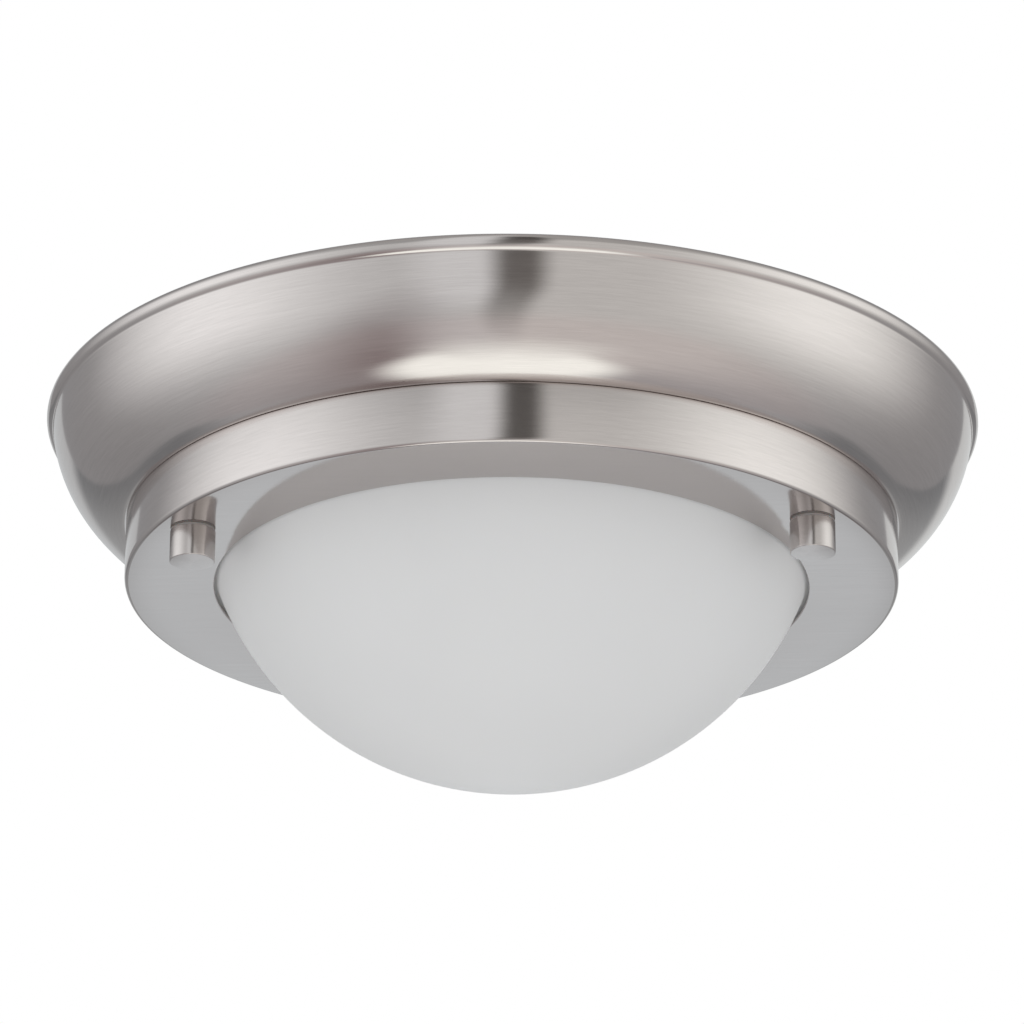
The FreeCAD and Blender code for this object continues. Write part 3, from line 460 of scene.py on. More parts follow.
class Finishes:
    """Every finish of the light, by the slots of the record."""

    # Tone of the nickel, radii of the rings of light sources in millimetres, and the roughness, the depth and
    # the waves of a wire's jacket.
    NICKEL = (0.605, 0.56, 0.545)
    BOARD_RINGS = (18.0, 29.5, 41.0)
    JACKET = (0.35, 0.000006, 1200.0)

    PAN = BrushedNickel("brushed_nickel", NICKEL, Grain.PAN, 0.095)
    DRUM = BrushedNickel("brushed_nickel", NICKEL, Grain.DRUM, 0.1)
    KNOB = BrushedNickel("brushed_nickel", (0.565, 0.523, 0.509), Grain.KNOB, 0.22, 0.05, 0.0)
    OPAL = OpalGlass("opal_glass", (0.745, 0.748, 0.75))
    ZINC = PlatedMetal("zinc_steel", (0.66, 0.67, 0.68), 0.28, 0.06)
    GREEN = PlatedMetal("green_screw", (0.06, 0.36, 0.14), 0.35, 0.1, metallic=0.35)
    BRASS = PlatedMetal("brass", (0.8, 0.62, 0.3), 0.25, 0.04)
    TINNED = PlatedMetal("tinned_copper", (0.76, 0.74, 0.7), 0.3, 0.04)
    WHITE = Paint("white_painted", (0.9, 0.9, 0.88), 0.38)
    BOARD = Paint("board_white", (0.93, 0.93, 0.92), 0.3, 3000.0, 0.00003, BOARD_RINGS)
    GREEN_BOARD = Paint("board_green", (0.04, 0.26, 0.12), 0.3, 2500.0)
    RUBBER = Moulded("black_rubber", (0.03, 0.03, 0.03), 0.6, 0.00002, 2000.0, sheen=0.2)
    SILICONE = Moulded("clear_silicone", (0.8, 0.8, 0.78), 0.5, 0.00001, 1500.0, glow=0.4)
    NYLON = Moulded("washer_nylon", (0.33, 0.305, 0.295), 0.4, 0.00001, glow=0.2)
    DRIVER = Moulded("driver_plastic", (0.88, 0.88, 0.86), 0.5, 0.00003)
    TERMINAL = Moulded("terminal_plastic", (0.83, 0.83, 0.8), 0.4, 0.00001, glow=0.1)
    CONNECTOR = Moulded("connector_plastic", (0.92, 0.91, 0.87), 0.4, 0.00001, glow=0.15)
    PHOSPHOR = Moulded("led_phosphor", (0.92, 0.8, 0.36), 0.25, 0.000004, 4000.0, glow=0.5)
    FERRITE = Moulded("ferrite", (0.07, 0.07, 0.075), 0.7, 0.00003, 1800.0)
    SLEEVE = Moulded("capacitor_sleeve", (0.03, 0.04, 0.08), 0.3, 0.000005, 2600.0)
    BLACK_WIRE = Moulded("insulation_black", (0.02, 0.02, 0.02), *JACKET)
    WHITE_WIRE = Moulded("insulation_white", (0.88, 0.88, 0.86), *JACKET)
    GREEN_WIRE = Moulded("insulation_green", (0.05, 0.38, 0.13), *JACKET)
    RED_WIRE = Moulded("insulation_red", (0.55, 0.03, 0.03), *JACKET)


# ---- Mesh operators ----


class Lathe:
    """Outline drawn in the XZ plane and then spun about the Z axis. Lengths are millimetres."""

    def __init__(self, radius: float, z: float) -> None:
        """Starts the outline.

        Args:
            radius: Distance of the first point from the axis.
            z: Its height.
        """
        self.mesh = bmesh.new()
        self.tip = self.mesh.verts.new((radius * MM, 0, z * MM))

    def run(self, *points: tuple[float, float]) -> "Lathe":
        """Draws straight runs.

        Args:
            points: Where each ends: its distance from the axis and its height.

        Returns:
            The lathe itself.
        """
        for radius, z in points:
            self.tip = bmesh.ops.extrude_vert_indiv(self.mesh, verts=[self.tip])["verts"][0]
            self.tip.co = (radius * MM, 0, z * MM)
        return self

    def arc(self, radius: float, z: float, degrees: float, steps: int) -> "Lathe":
        """Spins the last point into an arc.

        Args:
            radius: Distance of the arc's centre from the axis.
            z: Height of the centre.
            degrees: Turn, positive from +X towards +Z.
            steps: Edges in the arc.

        Returns:
            The lathe itself.
        """
        made = bmesh.ops.spin(self.mesh, geom=[self.tip], cent=(radius * MM, 0, z * MM), axis=(0, -1, 0),
                              angle=math.radians(degrees), steps=steps, use_duplicate=False)
        self.tip = next(part for part in made["geom_last"] if isinstance(part, bmesh.types.BMVert))
        return self

    def spun(self, segments: int) -> Mesh:
        """Spins the outline into a closed shell.

        Args:
            segments: Steps of the full turn.

        Returns:
            The mesh, with its faces outward.
        """
        outline = [*self.mesh.verts, *self.mesh.edges]
        bmesh.ops.spin(self.mesh, geom=outline, cent=(0, 0, 0), axis=(0, 0, 1), angle=math.tau,
                       steps=segments, use_merge=True, use_duplicate=False)
        return tidy(self.mesh)


def tidy(mesh: Mesh) -> Mesh:
    """Merges doubles and turns the faces outward.

    Args:
        mesh: Mesh to clean.

    Returns:
        The same mesh.
    """
    bmesh.ops.remove_doubles(mesh, verts=mesh.verts, dist=MERGE)
    bmesh.ops.dissolve_degenerate(mesh, dist=1e-7, edges=mesh.edges)
    bmesh.ops.recalc_face_normals(mesh, faces=mesh.faces)
    return mesh


def moved(mesh: Mesh, matrix: Matrix) -> Mesh:
    """Moves a mesh by a matrix and returns it."""
    bmesh.ops.transform(mesh, matrix=matrix, verts=mesh.verts)
    return mesh


def joined(meshes: Iterable[Mesh]) -> Mesh:
    """Puts several meshes in one.

    Args:
        meshes: Meshes, which are freed.

    Returns:
        The new mesh.
    """
    whole = bmesh.new()
    for part in meshes:
        data = bpy.data.meshes.new("part")
        part.to_mesh(data)
        part.free()
        whole.from_mesh(data)
        bpy.data.meshes.remove(data)
    return whole


def copies(mesh: Mesh, matrices: Iterable[Matrix]) -> Mesh:
    """Puts a copy of a mesh at each of several places, in one new mesh."""
    return joined(moved(mesh.copy(), matrix) for matrix in matrices)


def placed(x: float, y: float, z: float) -> Matrix:
    """Move by millimetres."""
    return Matrix.Translation((x * MM, y * MM, z * MM))


def turn(degrees: float) -> Matrix:
    """Turn about the Z axis."""
    return Matrix.Rotation(math.radians(degrees), 4, "Z")


def slab(length: float, width: float, height: float, z: float) -> Mesh:
    """Block with its middle on the Z axis, in millimetres, to be shaped further.

    Args:
        length: Size along X.
        width: Size along Y.
        height: Size along Z.
        z: Height of its lower face.

    Returns:
        The mesh.
    """
    mesh = bmesh.new()
    bmesh.ops.create_cube(mesh, size=1.0)
    bmesh.ops.scale(mesh, vec=(length * MM, width * MM, height * MM), verts=mesh.verts)
    return moved(mesh, placed(0, 0, z + height / 2))


def drill(x: float, y: float, radius: float, low: float, high: float, segments: int) -> Mesh:
    """Upright round bar, to cut a hole or to raise a collar, in millimetres.

    Args:
        x: Place of its axis along X.
        y: Place of its axis along Y.
        radius: Its radius.
        low: Height of its lower end.
        high: Height of its upper end.
        segments: Sides.

    Returns:
        The mesh.
    """
    mesh = bmesh.new()
    bmesh.ops.create_cone(mesh, cap_ends=True, segments=segments, radius1=radius * MM,
                          radius2=radius * MM, depth=(high - low) * MM)
    return moved(mesh, placed(x, y, (low + high) / 2))


def eased(mesh: Mesh, width: float, edges: Iterable[Edge], segments: int) -> Mesh:
    """Rounds some edges of a mesh.

    Args:
        mesh: Mesh to change.
        width: Width of the rounding in millimetres.
        edges: Edges to round.
        segments: Steps across the rounding.

    Returns:
        The same mesh.
    """
    bmesh.ops.bevel(mesh, geom=list(edges), offset=width * MM, offset_type="OFFSET", segments=segments,
                    profile=0.5, material=-1, affect="EDGES", clamp_overlap=True)
    return mesh


def upright(mesh: Mesh) -> list[Edge]:
    """Edges that run along Z."""
    return [edge for edge in mesh.edges
            if abs((edge.verts[0].co - edge.verts[1].co).normalized().z) > 0.99]


def rim_edges(mesh: Mesh, z: float) -> list[Edge]:
    """Edges that lie at a height in millimetres."""
    return [edge for edge in mesh.edges
            if all(abs(vert.co.z - z * MM) < NODE_MERGE for vert in edge.verts)]


def tapered(mesh: Mesh, z: float, shares: Triple) -> Mesh:
    """Draws a mesh in towards the Z axis below a height in millimetres, and returns it."""
    bmesh.ops.scale(mesh, vec=shares, verts=[vert for vert in mesh.verts if vert.co.z < z * MM])
    return mesh


def lowest(mesh: Mesh) -> bmesh.types.BMFace:
    """Lower face of a block."""
    return min(mesh.faces, key=lambda face: face.calc_center_median().z)


def thread(radius: float, pitch: float, low: float, high: float, steps: int = 18) -> Mesh:
    """Threaded rod on the Z axis: one tooth spun along a helix and cut flat at both ends.

    Args:
        radius: Outside of the thread in millimetres.
        pitch: Rise for each turn.
        low: Height of the lower end.
        high: Height of the upper end.
        steps: Steps for each turn.

    Returns:
        The mesh.
    """
    root = radius - 0.55 * pitch
    turns = math.ceil((high - low) / pitch) + 2
    start = low - 1.5 * pitch
    profile = ((root, 0.18), (radius, 0.5), (radius, 0.68), (root, 1.0))
    mesh = Lathe(root, start).run(*((reach, start + rise * pitch) for reach, rise in profile)).mesh
    bmesh.ops.spin(mesh, geom=[*mesh.verts, *mesh.edges], cent=(0, 0, 0), axis=(0, 0, 1),
                   angle=math.tau * turns, steps=steps * turns, dvec=(0, 0, pitch * MM / steps),
                   use_duplicate=False)
    bmesh.ops.remove_doubles(mesh, verts=mesh.verts, dist=THREAD_MERGE)
    for height, side in ((low, -1), (high, 1)):
        bmesh.ops.bisect_plane(mesh, geom=[*mesh.verts, *mesh.edges, *mesh.faces], dist=1e-7,
                               plane_co=(0, 0, height * MM), plane_no=(0, 0, side), clear_outer=True)
    bmesh.ops.holes_fill(mesh, edges=[edge for edge in mesh.edges if edge.is_boundary], sides=0)
    return tidy(mesh)


def as_object(name: str, mesh: Mesh) -> bpy.types.Object:
    """Object in the scene that holds a mesh.

    Args:
        name: Name of the object.
        mesh: Its mesh, which is freed.

    Returns:
        The object.
    """
    data = bpy.data.meshes.new(name)
    mesh.to_mesh(data)
    mesh.free()
    made = bpy.data.objects.new(name, data)
    bpy.context.scene.collection.objects.link(made)
    return made


def combined(first: Mesh, second: Mesh, operation: str) -> Mesh:
    """Result of a boolean modifier on two closed meshes.

    Args:
        first: Mesh to change, which is freed.
        second: Mesh to take out or add, which is freed.
        operation: Blender's name of the operation.

    Returns:
        The new mesh.
    """
    stock, tool = as_object("stock", first), as_object("tool", second)
    boolean = stock.modifiers.new("boolean", "BOOLEAN")
    boolean.object = tool
    boolean.operation = operation
    boolean.solver = "EXACT"
    bpy.context.view_layer.update()
    data = bpy.data.meshes.new_from_object(stock.evaluated_get(bpy.context.evaluated_depsgraph_get()))
    result = bmesh.new()
    result.from_mesh(data)
    for spare in (data, stock.data, tool.data):
        bpy.data.meshes.remove(spare)
    return result


def carved(mesh: Mesh, tool: Mesh) -> Mesh:
    """Takes one closed mesh out of another."""
    return tidy(combined(mesh, tool, "DIFFERENCE"))


def united(first: Mesh, second: Mesh) -> Mesh:
    """Joins two closed meshes into one shell."""
    return combined(first, second, "UNION")


def node_mesh(node: str) -> Mesh:
    """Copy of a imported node's mesh, with its loose triangles joined.

    Args:
        node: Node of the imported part.

    Returns:
        The mesh.
    """
    mesh = bmesh.new()
    mesh.from_mesh(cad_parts[node].data)
    bmesh.ops.remove_doubles(mesh, verts=mesh.verts, dist=NODE_MERGE)
    return mesh


def piece(name: str, mesh: Mesh, finish: Finish, node: str = "", body: Body = Body.FIXTURE,
          crease: float = 32.0) -> None:
    """Finished piece of the light.

    Args:
        name: Name of the piece.
        mesh: Its mesh, in place, which is freed.
        finish: Its finish.
        node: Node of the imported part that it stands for, if there is one.
        body: Body that it rides on.
        crease: Edges sharper than this many degrees stay sharp.
    """
    made = as_object(name, mesh)
    data = made.data
    data.materials.append(finish.material())
    data.polygons.foreach_set("use_smooth", [True] * len(data.polygons))
    data.set_sharp_from_angle(angle=math.radians(crease))
    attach(made, body.value)
    if node:
        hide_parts(node)
    LOG.info("%s on %s: %d faces", name, body.value, len(data.polygons))


def softened(node: str, way: str, finish: Finish, width: float, body: Body = Body.FIXTURE) -> None:
    """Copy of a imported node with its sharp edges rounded, which stands for it.

    Args:
        node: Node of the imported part.
        way: How the piece is made, for its name.
        finish: Its finish.
        width: Width of the rounding in millimetres.
        body: Body that it rides on.
    """
    mesh = node_mesh(node)
    bmesh.ops.dissolve_limit(mesh, angle_limit=math.radians(0.4), verts=mesh.verts, edges=mesh.edges)
    sharp = [edge for edge in mesh.edges
             if len(edge.link_faces) == 2 and edge.calc_face_angle(0.0) > math.radians(40)]
    piece(f"{node}_{way}", eased(mesh, width, sharp, 2), finish, node, body)


# ---- Fasteners ----


@dataclass(frozen=True)
class Screw:
    """Round-headed machine or self-tapping screw, with a plain part next to its head.

    Lengths are millimetres. The dome and the recess are shares of the head's height, the brink of the dome
    and the arms of the recess shares of its radius.
    """

    radius: float
    pitch: float
    head_r: float
    head_h: float
    drive: Drive
    plain: float = 0.0
    dome: float = 0.45
    brink: float = 0.894
    recess: float = 0.62
    arm: float = 0.3

    def head(self) -> Mesh:
        """Domed head on the plane z = 0, above it, with its recess.

        Returns:
            The mesh.
        """
        reach, dome = self.head_r, self.head_h * self.dome
        side, brink = self.head_h - dome, reach * self.brink
        dome_r = (reach ** 2 * 0.8 + dome ** 2) / (2 * dome)
        outline = Lathe(0, 0).run((reach - 0.12, 0), (reach, 0.12), (reach, side),
                                  (reach * 0.97, side + dome * 0.18), (brink, side + dome * 0.28))
        outline.arc(0, self.head_h - dome_r, math.degrees(math.asin(brink / dome_r)) * 0.98, 9)
        return carved(outline.run((0, self.head_h)).spun(48), self.tool())

    def tool(self) -> Mesh:
        """Shape of the driver's tip that the recess takes.

        Returns:
            The mesh.
        """
        depth, arm = self.head_h * self.recess, self.head_r * self.arm
        low = self.head_h - depth
        parts = []
        for degrees in (45, 135):
            wing = slab(self.head_r * 1.08, arm, depth + 1.0, low)
            parts.append(moved(tapered(wing, low + 0.1, (0.45, 0.6, 1.0)), turn(degrees)))
        if self.drive is Drive.COMBINED:
            slot_depth = depth * 0.55
            parts.append(slab(self.head_r * 2.4, arm * 0.75, slot_depth + 1.0, self.head_h - slot_depth))
        return reduce(united, parts)

    def made(self, length: float) -> Mesh:
        """Whole screw with the underside of its head at z = 0 and its shank below.

        Args:
            length: Length of the shank.

        Returns:
            The mesh.
        """
        parts = [self.head()]
        if self.plain:
            neck = Lathe(0, 0.05).run((self.radius, 0.05), (self.radius, -self.plain), (0, -self.plain))
            parts.append(neck.spun(32))
        parts.append(thread(self.radius, self.pitch, -length, 0.02 - self.plain))
        return joined(parts)


@dataclass
class Fasteners:
    """Screws, studs and nuts of the light."""

    machine: Screw = Screw(2.085, 0.794, 4.1, 2.6, Drive.COMBINED)
    stud: Screw = Screw(2.085, 0.794, 4.0, 2.4, Drive.CROSS, 1.0)
    small: Screw = Screw(1.5, 0.6, 2.7, 1.8, Drive.CROSS)
    earth: Screw = Screw(2.0, 0.7, 3.7, 2.3, Drive.COMBINED)

    @staticmethod
    def at(node: str) -> list[Vector]:
        """Places of the screws of a node along X and Y, from its loose parts.

        Args:
            node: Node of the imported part.

        Returns:
            The middle of each screw, in metres, sorted.
        """
        mesh = node_mesh(node)
        left = set(mesh.verts)
        middles = []
        while left:
            island, front = [], [left.pop()]
            while front:
                vert = front.pop()
                island.append(vert)
                near = {edge.other_vert(vert) for edge in vert.link_edges} & left
                left -= near
                front += near
            ends = [(min(line) + max(line)) / 2 for line in zip(*(vert.co.xy for vert in island))]
            middles.append(Vector((*ends, 0)))
        mesh.free()
        return sorted(middles, key=lambda spot: (round(spot.x, 5), round(spot.y, 5)))

    def set_in(self, node: str, screw: Screw, head_z: float, tip_z: float, finish: Finish) -> None:
        """Replaces a node's screws by detailed ones.

        Args:
            node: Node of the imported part.
            screw: Kind of screw.
            head_z: Height of the face that the heads rest on, in millimetres.
            tip_z: Height of the tips.
            finish: Finish of the screws.
        """
        flip = Matrix.Rotation(0.0 if head_z > tip_z else math.pi, 4, "X")
        places = [Matrix.Translation(spot + Vector((0, 0, head_z * MM))) @ turn(23 + 67 * number) @ flip
                  for number, spot in enumerate(self.at(node))]
        piece(f"{node}_turned", copies(screw.made(abs(head_z - tip_z)), places), finish, node)

    def ground_screw(self) -> None:
        """Hex washer head with a slot, under the strap."""
        strap_low, across_flats, flange_h, head_h, slot_w, slot_depth = -1.6, 7.9, 0.9, 3.2, 1.2, 1.4
        low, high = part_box("strap_ground_screw")
        middle = (low + high) / 2
        seat = strap_low - flange_h
        bottom = seat - head_h
        flange = Lathe(0, strap_low).run((5.0, strap_low), (5.0, strap_low - 0.6), (4.6, seat), (0, seat))
        head = drill(0, 0, across_flats / math.sqrt(3), bottom, seat, 6)
        eased(head, 0.55, rim_edges(head, bottom), 3)
        head = carved(head, slab(12.0, slot_w, slot_depth + 1.0, bottom - 1.0))
        whole = joined([flange.spun(40), head, thread(2.3, 0.9, strap_low - 0.02, -0.02)])
        piece("strap_ground_screw_hex", moved(whole, Matrix.Translation((middle.x, middle.y, 0))),
              Finishes.GREEN, "strap_ground_screw")

    def build(self) -> None:
        """Makes every fastener."""
        zinc = Finishes.ZINC
        # Node, kind of screw, height of its seat, height of its tip and finish.
        for row in (("fixture_screws", self.machine, FLOOR_LOW, 0.0, zinc),
                    ("cover_studs", self.stud, FLOOR_TOP, -49.2, zinc),
                    ("driver_screws", self.small, FLOOR_TOP + 2.5, FLOOR_LOW - 1.0, zinc),
                    ("terminal_screws", self.small, FLOOR_TOP + 4.0, FLOOR_LOW - 1.0, zinc),
                    ("led_tray_screws", self.small, FLOOR_LOW - 1.2, FLOOR_TOP + 1.5, zinc),
                    ("led_board_screws", self.small, BOARD_LOW, -30.9, zinc),
                    ("earth_screw", self.earth, FLOOR_TOP + 0.8, -32.5, Finishes.GREEN)):
            self.set_in(*row)
        self.ground_screw()
        studs = copies(thread(1.5, 0.5, FACE_TOP, FACE_TOP + 5.0),
                       [Matrix.Translation(spot) for spot in self.at("clip_weld_studs")])
        piece("clip_weld_studs_threaded", studs, zinc, "clip_weld_studs", Body.COVER)


# ---- Cover ----


@dataclass
class ThumbNuts:
    """Round nuts that hold the cover, with a plain faced end, and their washers. Lengths are millimetres."""

    radius: float = 5.4
    height: float = 7.7
    top: float = -44.35
    edge: float = 0.25
    break_w: float = 0.08
    lead_in: float = 0.4
    skin: float = 1.7
    washer_r: float = 5.3
    washer_edge: float = 0.06
    washer_gap: float = 0.15

    def nut(self) -> Mesh:
        """Nut on the Z axis, with its lower end closed.

        Returns:
            The mesh.
        """
        low, shoulder = self.top - self.height, self.top - self.break_w
        outline = Lathe(0, low).run((self.radius - self.edge, low))
        outline.arc(self.radius - self.edge, low + self.edge, 90, 5).run((self.radius, shoulder))
        outline.arc(self.radius - self.break_w, shoulder, 90, 4)
        outline.run((TIGHT_R + self.lead_in, self.top), (TIGHT_R, self.top - self.lead_in),
                    (TIGHT_R, low + self.skin), (0, low + self.skin))
        return outline.spun(96)

    def washer(self) -> Mesh:
        """Thin washer between the nut and the face plate, with a broken outer edge.

        Returns:
            The mesh.
        """
        low, high, soft = self.top, FACE_LOW, self.washer_edge
        bore, flat = TIGHT_R + self.washer_gap, self.washer_r - soft
        outline = Lathe(bore, low).run((flat, low)).arc(flat, low + soft, 90, 3)
        outline.run((self.washer_r, high - soft)).arc(flat, high - soft, 90, 3)
        return outline.run((bore, high), (bore, low)).spun(96)

    def build(self) -> None:
        """Makes the three nuts and their washers."""
        for number, degrees in enumerate(STUD_DEGS, 1):
            where = turn(degrees) @ placed(STUD_CIRCLE, 0, 0)
            piece(f"thumb_nut_{number}_turned", moved(self.nut(), where), Finishes.KNOB,
                  f"thumb_nut_{number}", Body(f"nut_{number}"))
            piece(f"nut_washer_{number}_cut", moved(self.washer(), where), Finishes.NYLON,
                  f"nut_washer_{number}", Body(f"washer_{number}"))


@dataclass
class Cover:
    """Drum cover with its glass and clips. Lengths are millimetres."""

    drum_r: float = 94.16
    sheet: float = 0.8
    corner_r: float = 1.0
    rim_r: float = 0.3
    top_gap: float = 0.02
    hole_r: float = 72.4
    hole_edge: float = 0.2
    lip_r: float = 78.5
    lip_edge: float = 1.2
    glass_r: float = 76.927
    glass_z: float = -14.723
    glass_t: float = 3.0
    gasket_top: float = -42.25
    lip_top: float = -39.25
    clip_ease: float = 0.18
    root_gap_deg: float = 0.7
    mouth_gap_deg: float = 0.6
    fillet: float = 0.6
    fillet_in: float = 0.12
    fillet_up: float = 0.18

    def drum(self) -> None:
        """Drawn cap: wall with rounded upper edge, rounded corner and face plate with its opening."""
        wall, corner, rim, top = self.drum_r, self.corner_r, self.rim_r, FLOOR_LOW - self.top_gap
        inside, hole, lip = wall - self.sheet, self.hole_r, self.hole_r + self.hole_edge
        outline = Lathe(wall - rim, top).arc(wall - rim, top - rim, -90, 4)
        outline.run((wall, FACE_LOW + corner)).arc(wall - corner, FACE_LOW + corner, -90, 10)
        outline.run((lip, FACE_LOW)).arc(lip, FACE_LOW + self.hole_edge, -90, 4)
        outline.run((hole, FACE_TOP - self.hole_edge)).arc(lip, FACE_TOP - self.hole_edge, -90, 4)
        outline.run((inside - rim, FACE_TOP)).arc(inside - rim, FACE_TOP + rim, 90, 4)
        outline.run((inside, top), (wall - rim, top))
        holes = copies(drill(0, 0, FREE_R, FACE_LOW - 1, FACE_TOP + 1, 32),
                       [turn(degrees) @ placed(STUD_CIRCLE, 0, 0) for degrees in STUD_DEGS])
        piece("drum_cover_drawn", carved(outline.spun(288), holes), Finishes.DRUM, "drum_cover", Body.COVER)

    def glass(self) -> None:
        """Bent opal glass with an out-turned lip.

        The arc of each face of the dome stops a little short of the lip, where a fillet takes over.
        """
        middle, outer, inner, soft = self.glass_z, self.glass_r, self.glass_r - self.glass_t, self.lip_edge
        low, high, flat = self.gasket_top, self.lip_top, self.lip_r - soft
        root = math.degrees(math.asin((low - middle) / outer))
        mouth = math.degrees(math.asin((high - middle) / inner))
        root_x = outer * math.cos(math.radians(root))
        start = math.radians(mouth - self.mouth_gap_deg)
        outline = Lathe(0, middle - outer).arc(0, middle, 90 + root - self.root_gap_deg, 72)
        outline.run((root_x + self.fillet_in, low - self.fillet_up), (root_x + self.fillet, low), (flat, low))
        outline.arc(flat, low + soft, 90, 6).run((self.lip_r, high - soft)).arc(flat, high - soft, 90, 6)
        outline.run((inner * math.cos(math.radians(mouth)) + self.fillet, high),
                    (inner * math.cos(start), middle + inner * math.sin(start)))
        outline.arc(0, middle, -90 - mouth + self.mouth_gap_deg, 60)
        piece("glass_shade_bent", outline.spun(192), Finishes.OPAL, "glass_shade", Body.COVER, 50.0)

    def build(self) -> None:
        """Makes the drum, the glass and the bent clips."""
        self.drum()
        self.glass()
        for number in (1, 2, 3):
            softened(f"glass_clip_{number}", "bent", Finishes.ZINC, self.clip_ease, Body.COVER)


# ---- Pan ----


@dataclass
class Pan:
    """Spun pan: flat floor, tight corner, bowl and rolled bead. Lengths are millimetres.

    The bead, the bowl and the corner are arcs, each told by the distance of its centre from the axis, the
    centre's height and its radius. Angles are degrees, from +X towards +Z.
    """

    sheet: float = 0.8
    crease_r: float = 0.8
    bead: Triple = (112.2, -2.1, 2.1)
    bowl: Triple = (81.72455, -0.48366, 31.3)
    corner: Triple = (94.4, -26.9, 2.0)
    turn_deg: float = -64.36675
    inner_crease_deg: float = -5.47731
    inner_foot_deg: float = -95.0621
    curl_deg: float = 200.0
    fixture_x: float = 68.0
    key_travel: float = 11.0
    key_r: float = 4.45
    lead_hole_r: float = 4.5
    earth_hole_r: float = 2.05
    collar_r: float = 2.8
    collar_h: float = 1.5
    tray_screws: int = 3

    def section(self) -> Lathe:
        """Outline of the sheet, from the middle of the floor out to the bead and back inside.

        Returns:
            The outline.
        """
        groove, curl = self.groove(), math.radians(self.curl_deg)
        bead, bowl, corner = (Vector(arc[:2]) for arc in (self.bead, self.bowl, self.corner))
        leave, foot = (math.degrees(math.atan2(*(groove - centre).yx)) for centre in (bowl, bead))
        start = bead + Vector((math.cos(curl), math.sin(curl))) * (self.bead[2] - self.sheet)
        outline = Lathe(0, FLOOR_LOW).run((corner.x, FLOOR_LOW))
        for centre, degrees, steps in ((corner, self.turn_deg + 90, 8), (bowl, leave - self.turn_deg, 60),
                                       (groove, foot - leave, 7), (bead, self.curl_deg - foot, 44)):
            outline.arc(*centre, degrees, steps)
        outline.run(tuple(start))
        for centre, degrees, steps in ((bead, self.inner_foot_deg - self.curl_deg, 40),
                                       (bowl, self.turn_deg - self.inner_crease_deg, 50),
                                       (corner, -90 - self.turn_deg, 6)):
            outline.arc(*centre, degrees, steps)
        return outline.run((0, FLOOR_TOP))

    def groove(self) -> Vector:
        """Centre of the small round between bowl and bead, in the XZ plane.

        Returns:
            The centre in millimetres.
        """
        near, far = Vector(self.bowl[:2]), Vector(self.bead[:2])
        reach, other = self.bowl[2] + self.crease_r, self.bead[2] + self.crease_r
        gap = (far - near).length
        ahead = (far - near) / gap
        along = (reach ** 2 - other ** 2 + gap ** 2) / (2 * gap)
        return near + ahead * along + Vector((ahead.y, -ahead.x)) * math.sqrt(reach ** 2 - along ** 2)

    def keyhole(self, side: int) -> Mesh:
        """Shape of a keyhole: a narrow end for the screw and a round one for its head.

        Args:
            side: 1 for the right-hand keyhole, -1 for the left-hand one.

        Returns:
            The mesh.
        """
        low, high = FLOOR_LOW - 1, FLOOR_TOP + 1
        x, entry = side * self.fixture_x, -side * self.key_travel
        slot = moved(slab(2 * FREE_R, self.key_travel, high - low, low), placed(x, entry / 2, 0))
        ends = [drill(x, 0, FREE_R, low, high, 24), drill(x, entry, self.key_r, low, high, 32)]
        return reduce(united, [slot, *ends])

    def build(self) -> None:
        """Spins the pan, raises the collars of the tray's screws and cuts the holes."""
        low, high = FLOOR_LOW - 1, FLOOR_TOP + 3
        # The screws of the tray come first, because they also get a collar each.
        bores = [(spot.x / MM, spot.y / MM, radius)
                 for node, radius in (("led_tray_screws", PILOT_R), ("driver_screws", PILOT_R),
                                      ("terminal_screws", PILOT_R), ("cover_studs", TIGHT_R),
                                      ("earth_screw", self.earth_hole_r))
                 for spot in Fasteners.at(node)]
        collars = [drill(x, y, self.collar_r, FLOOR_LOW + self.sheet / 2, FLOOR_TOP + self.collar_h, 32)
                   for x, y, _ in bores[:self.tray_screws]]
        tools = [drill(0, 0, self.lead_hole_r, low, high, 40), self.keyhole(1), self.keyhole(-1)]
        tools += [drill(x, y, radius, low, high, 24) for x, y, radius in bores]
        body = united(self.section().spun(288), joined(collars))
        piece("pan_spun", carved(body, joined(tools)), Finishes.PAN, "pan", crease=28.0)


# ---- Light engine ----


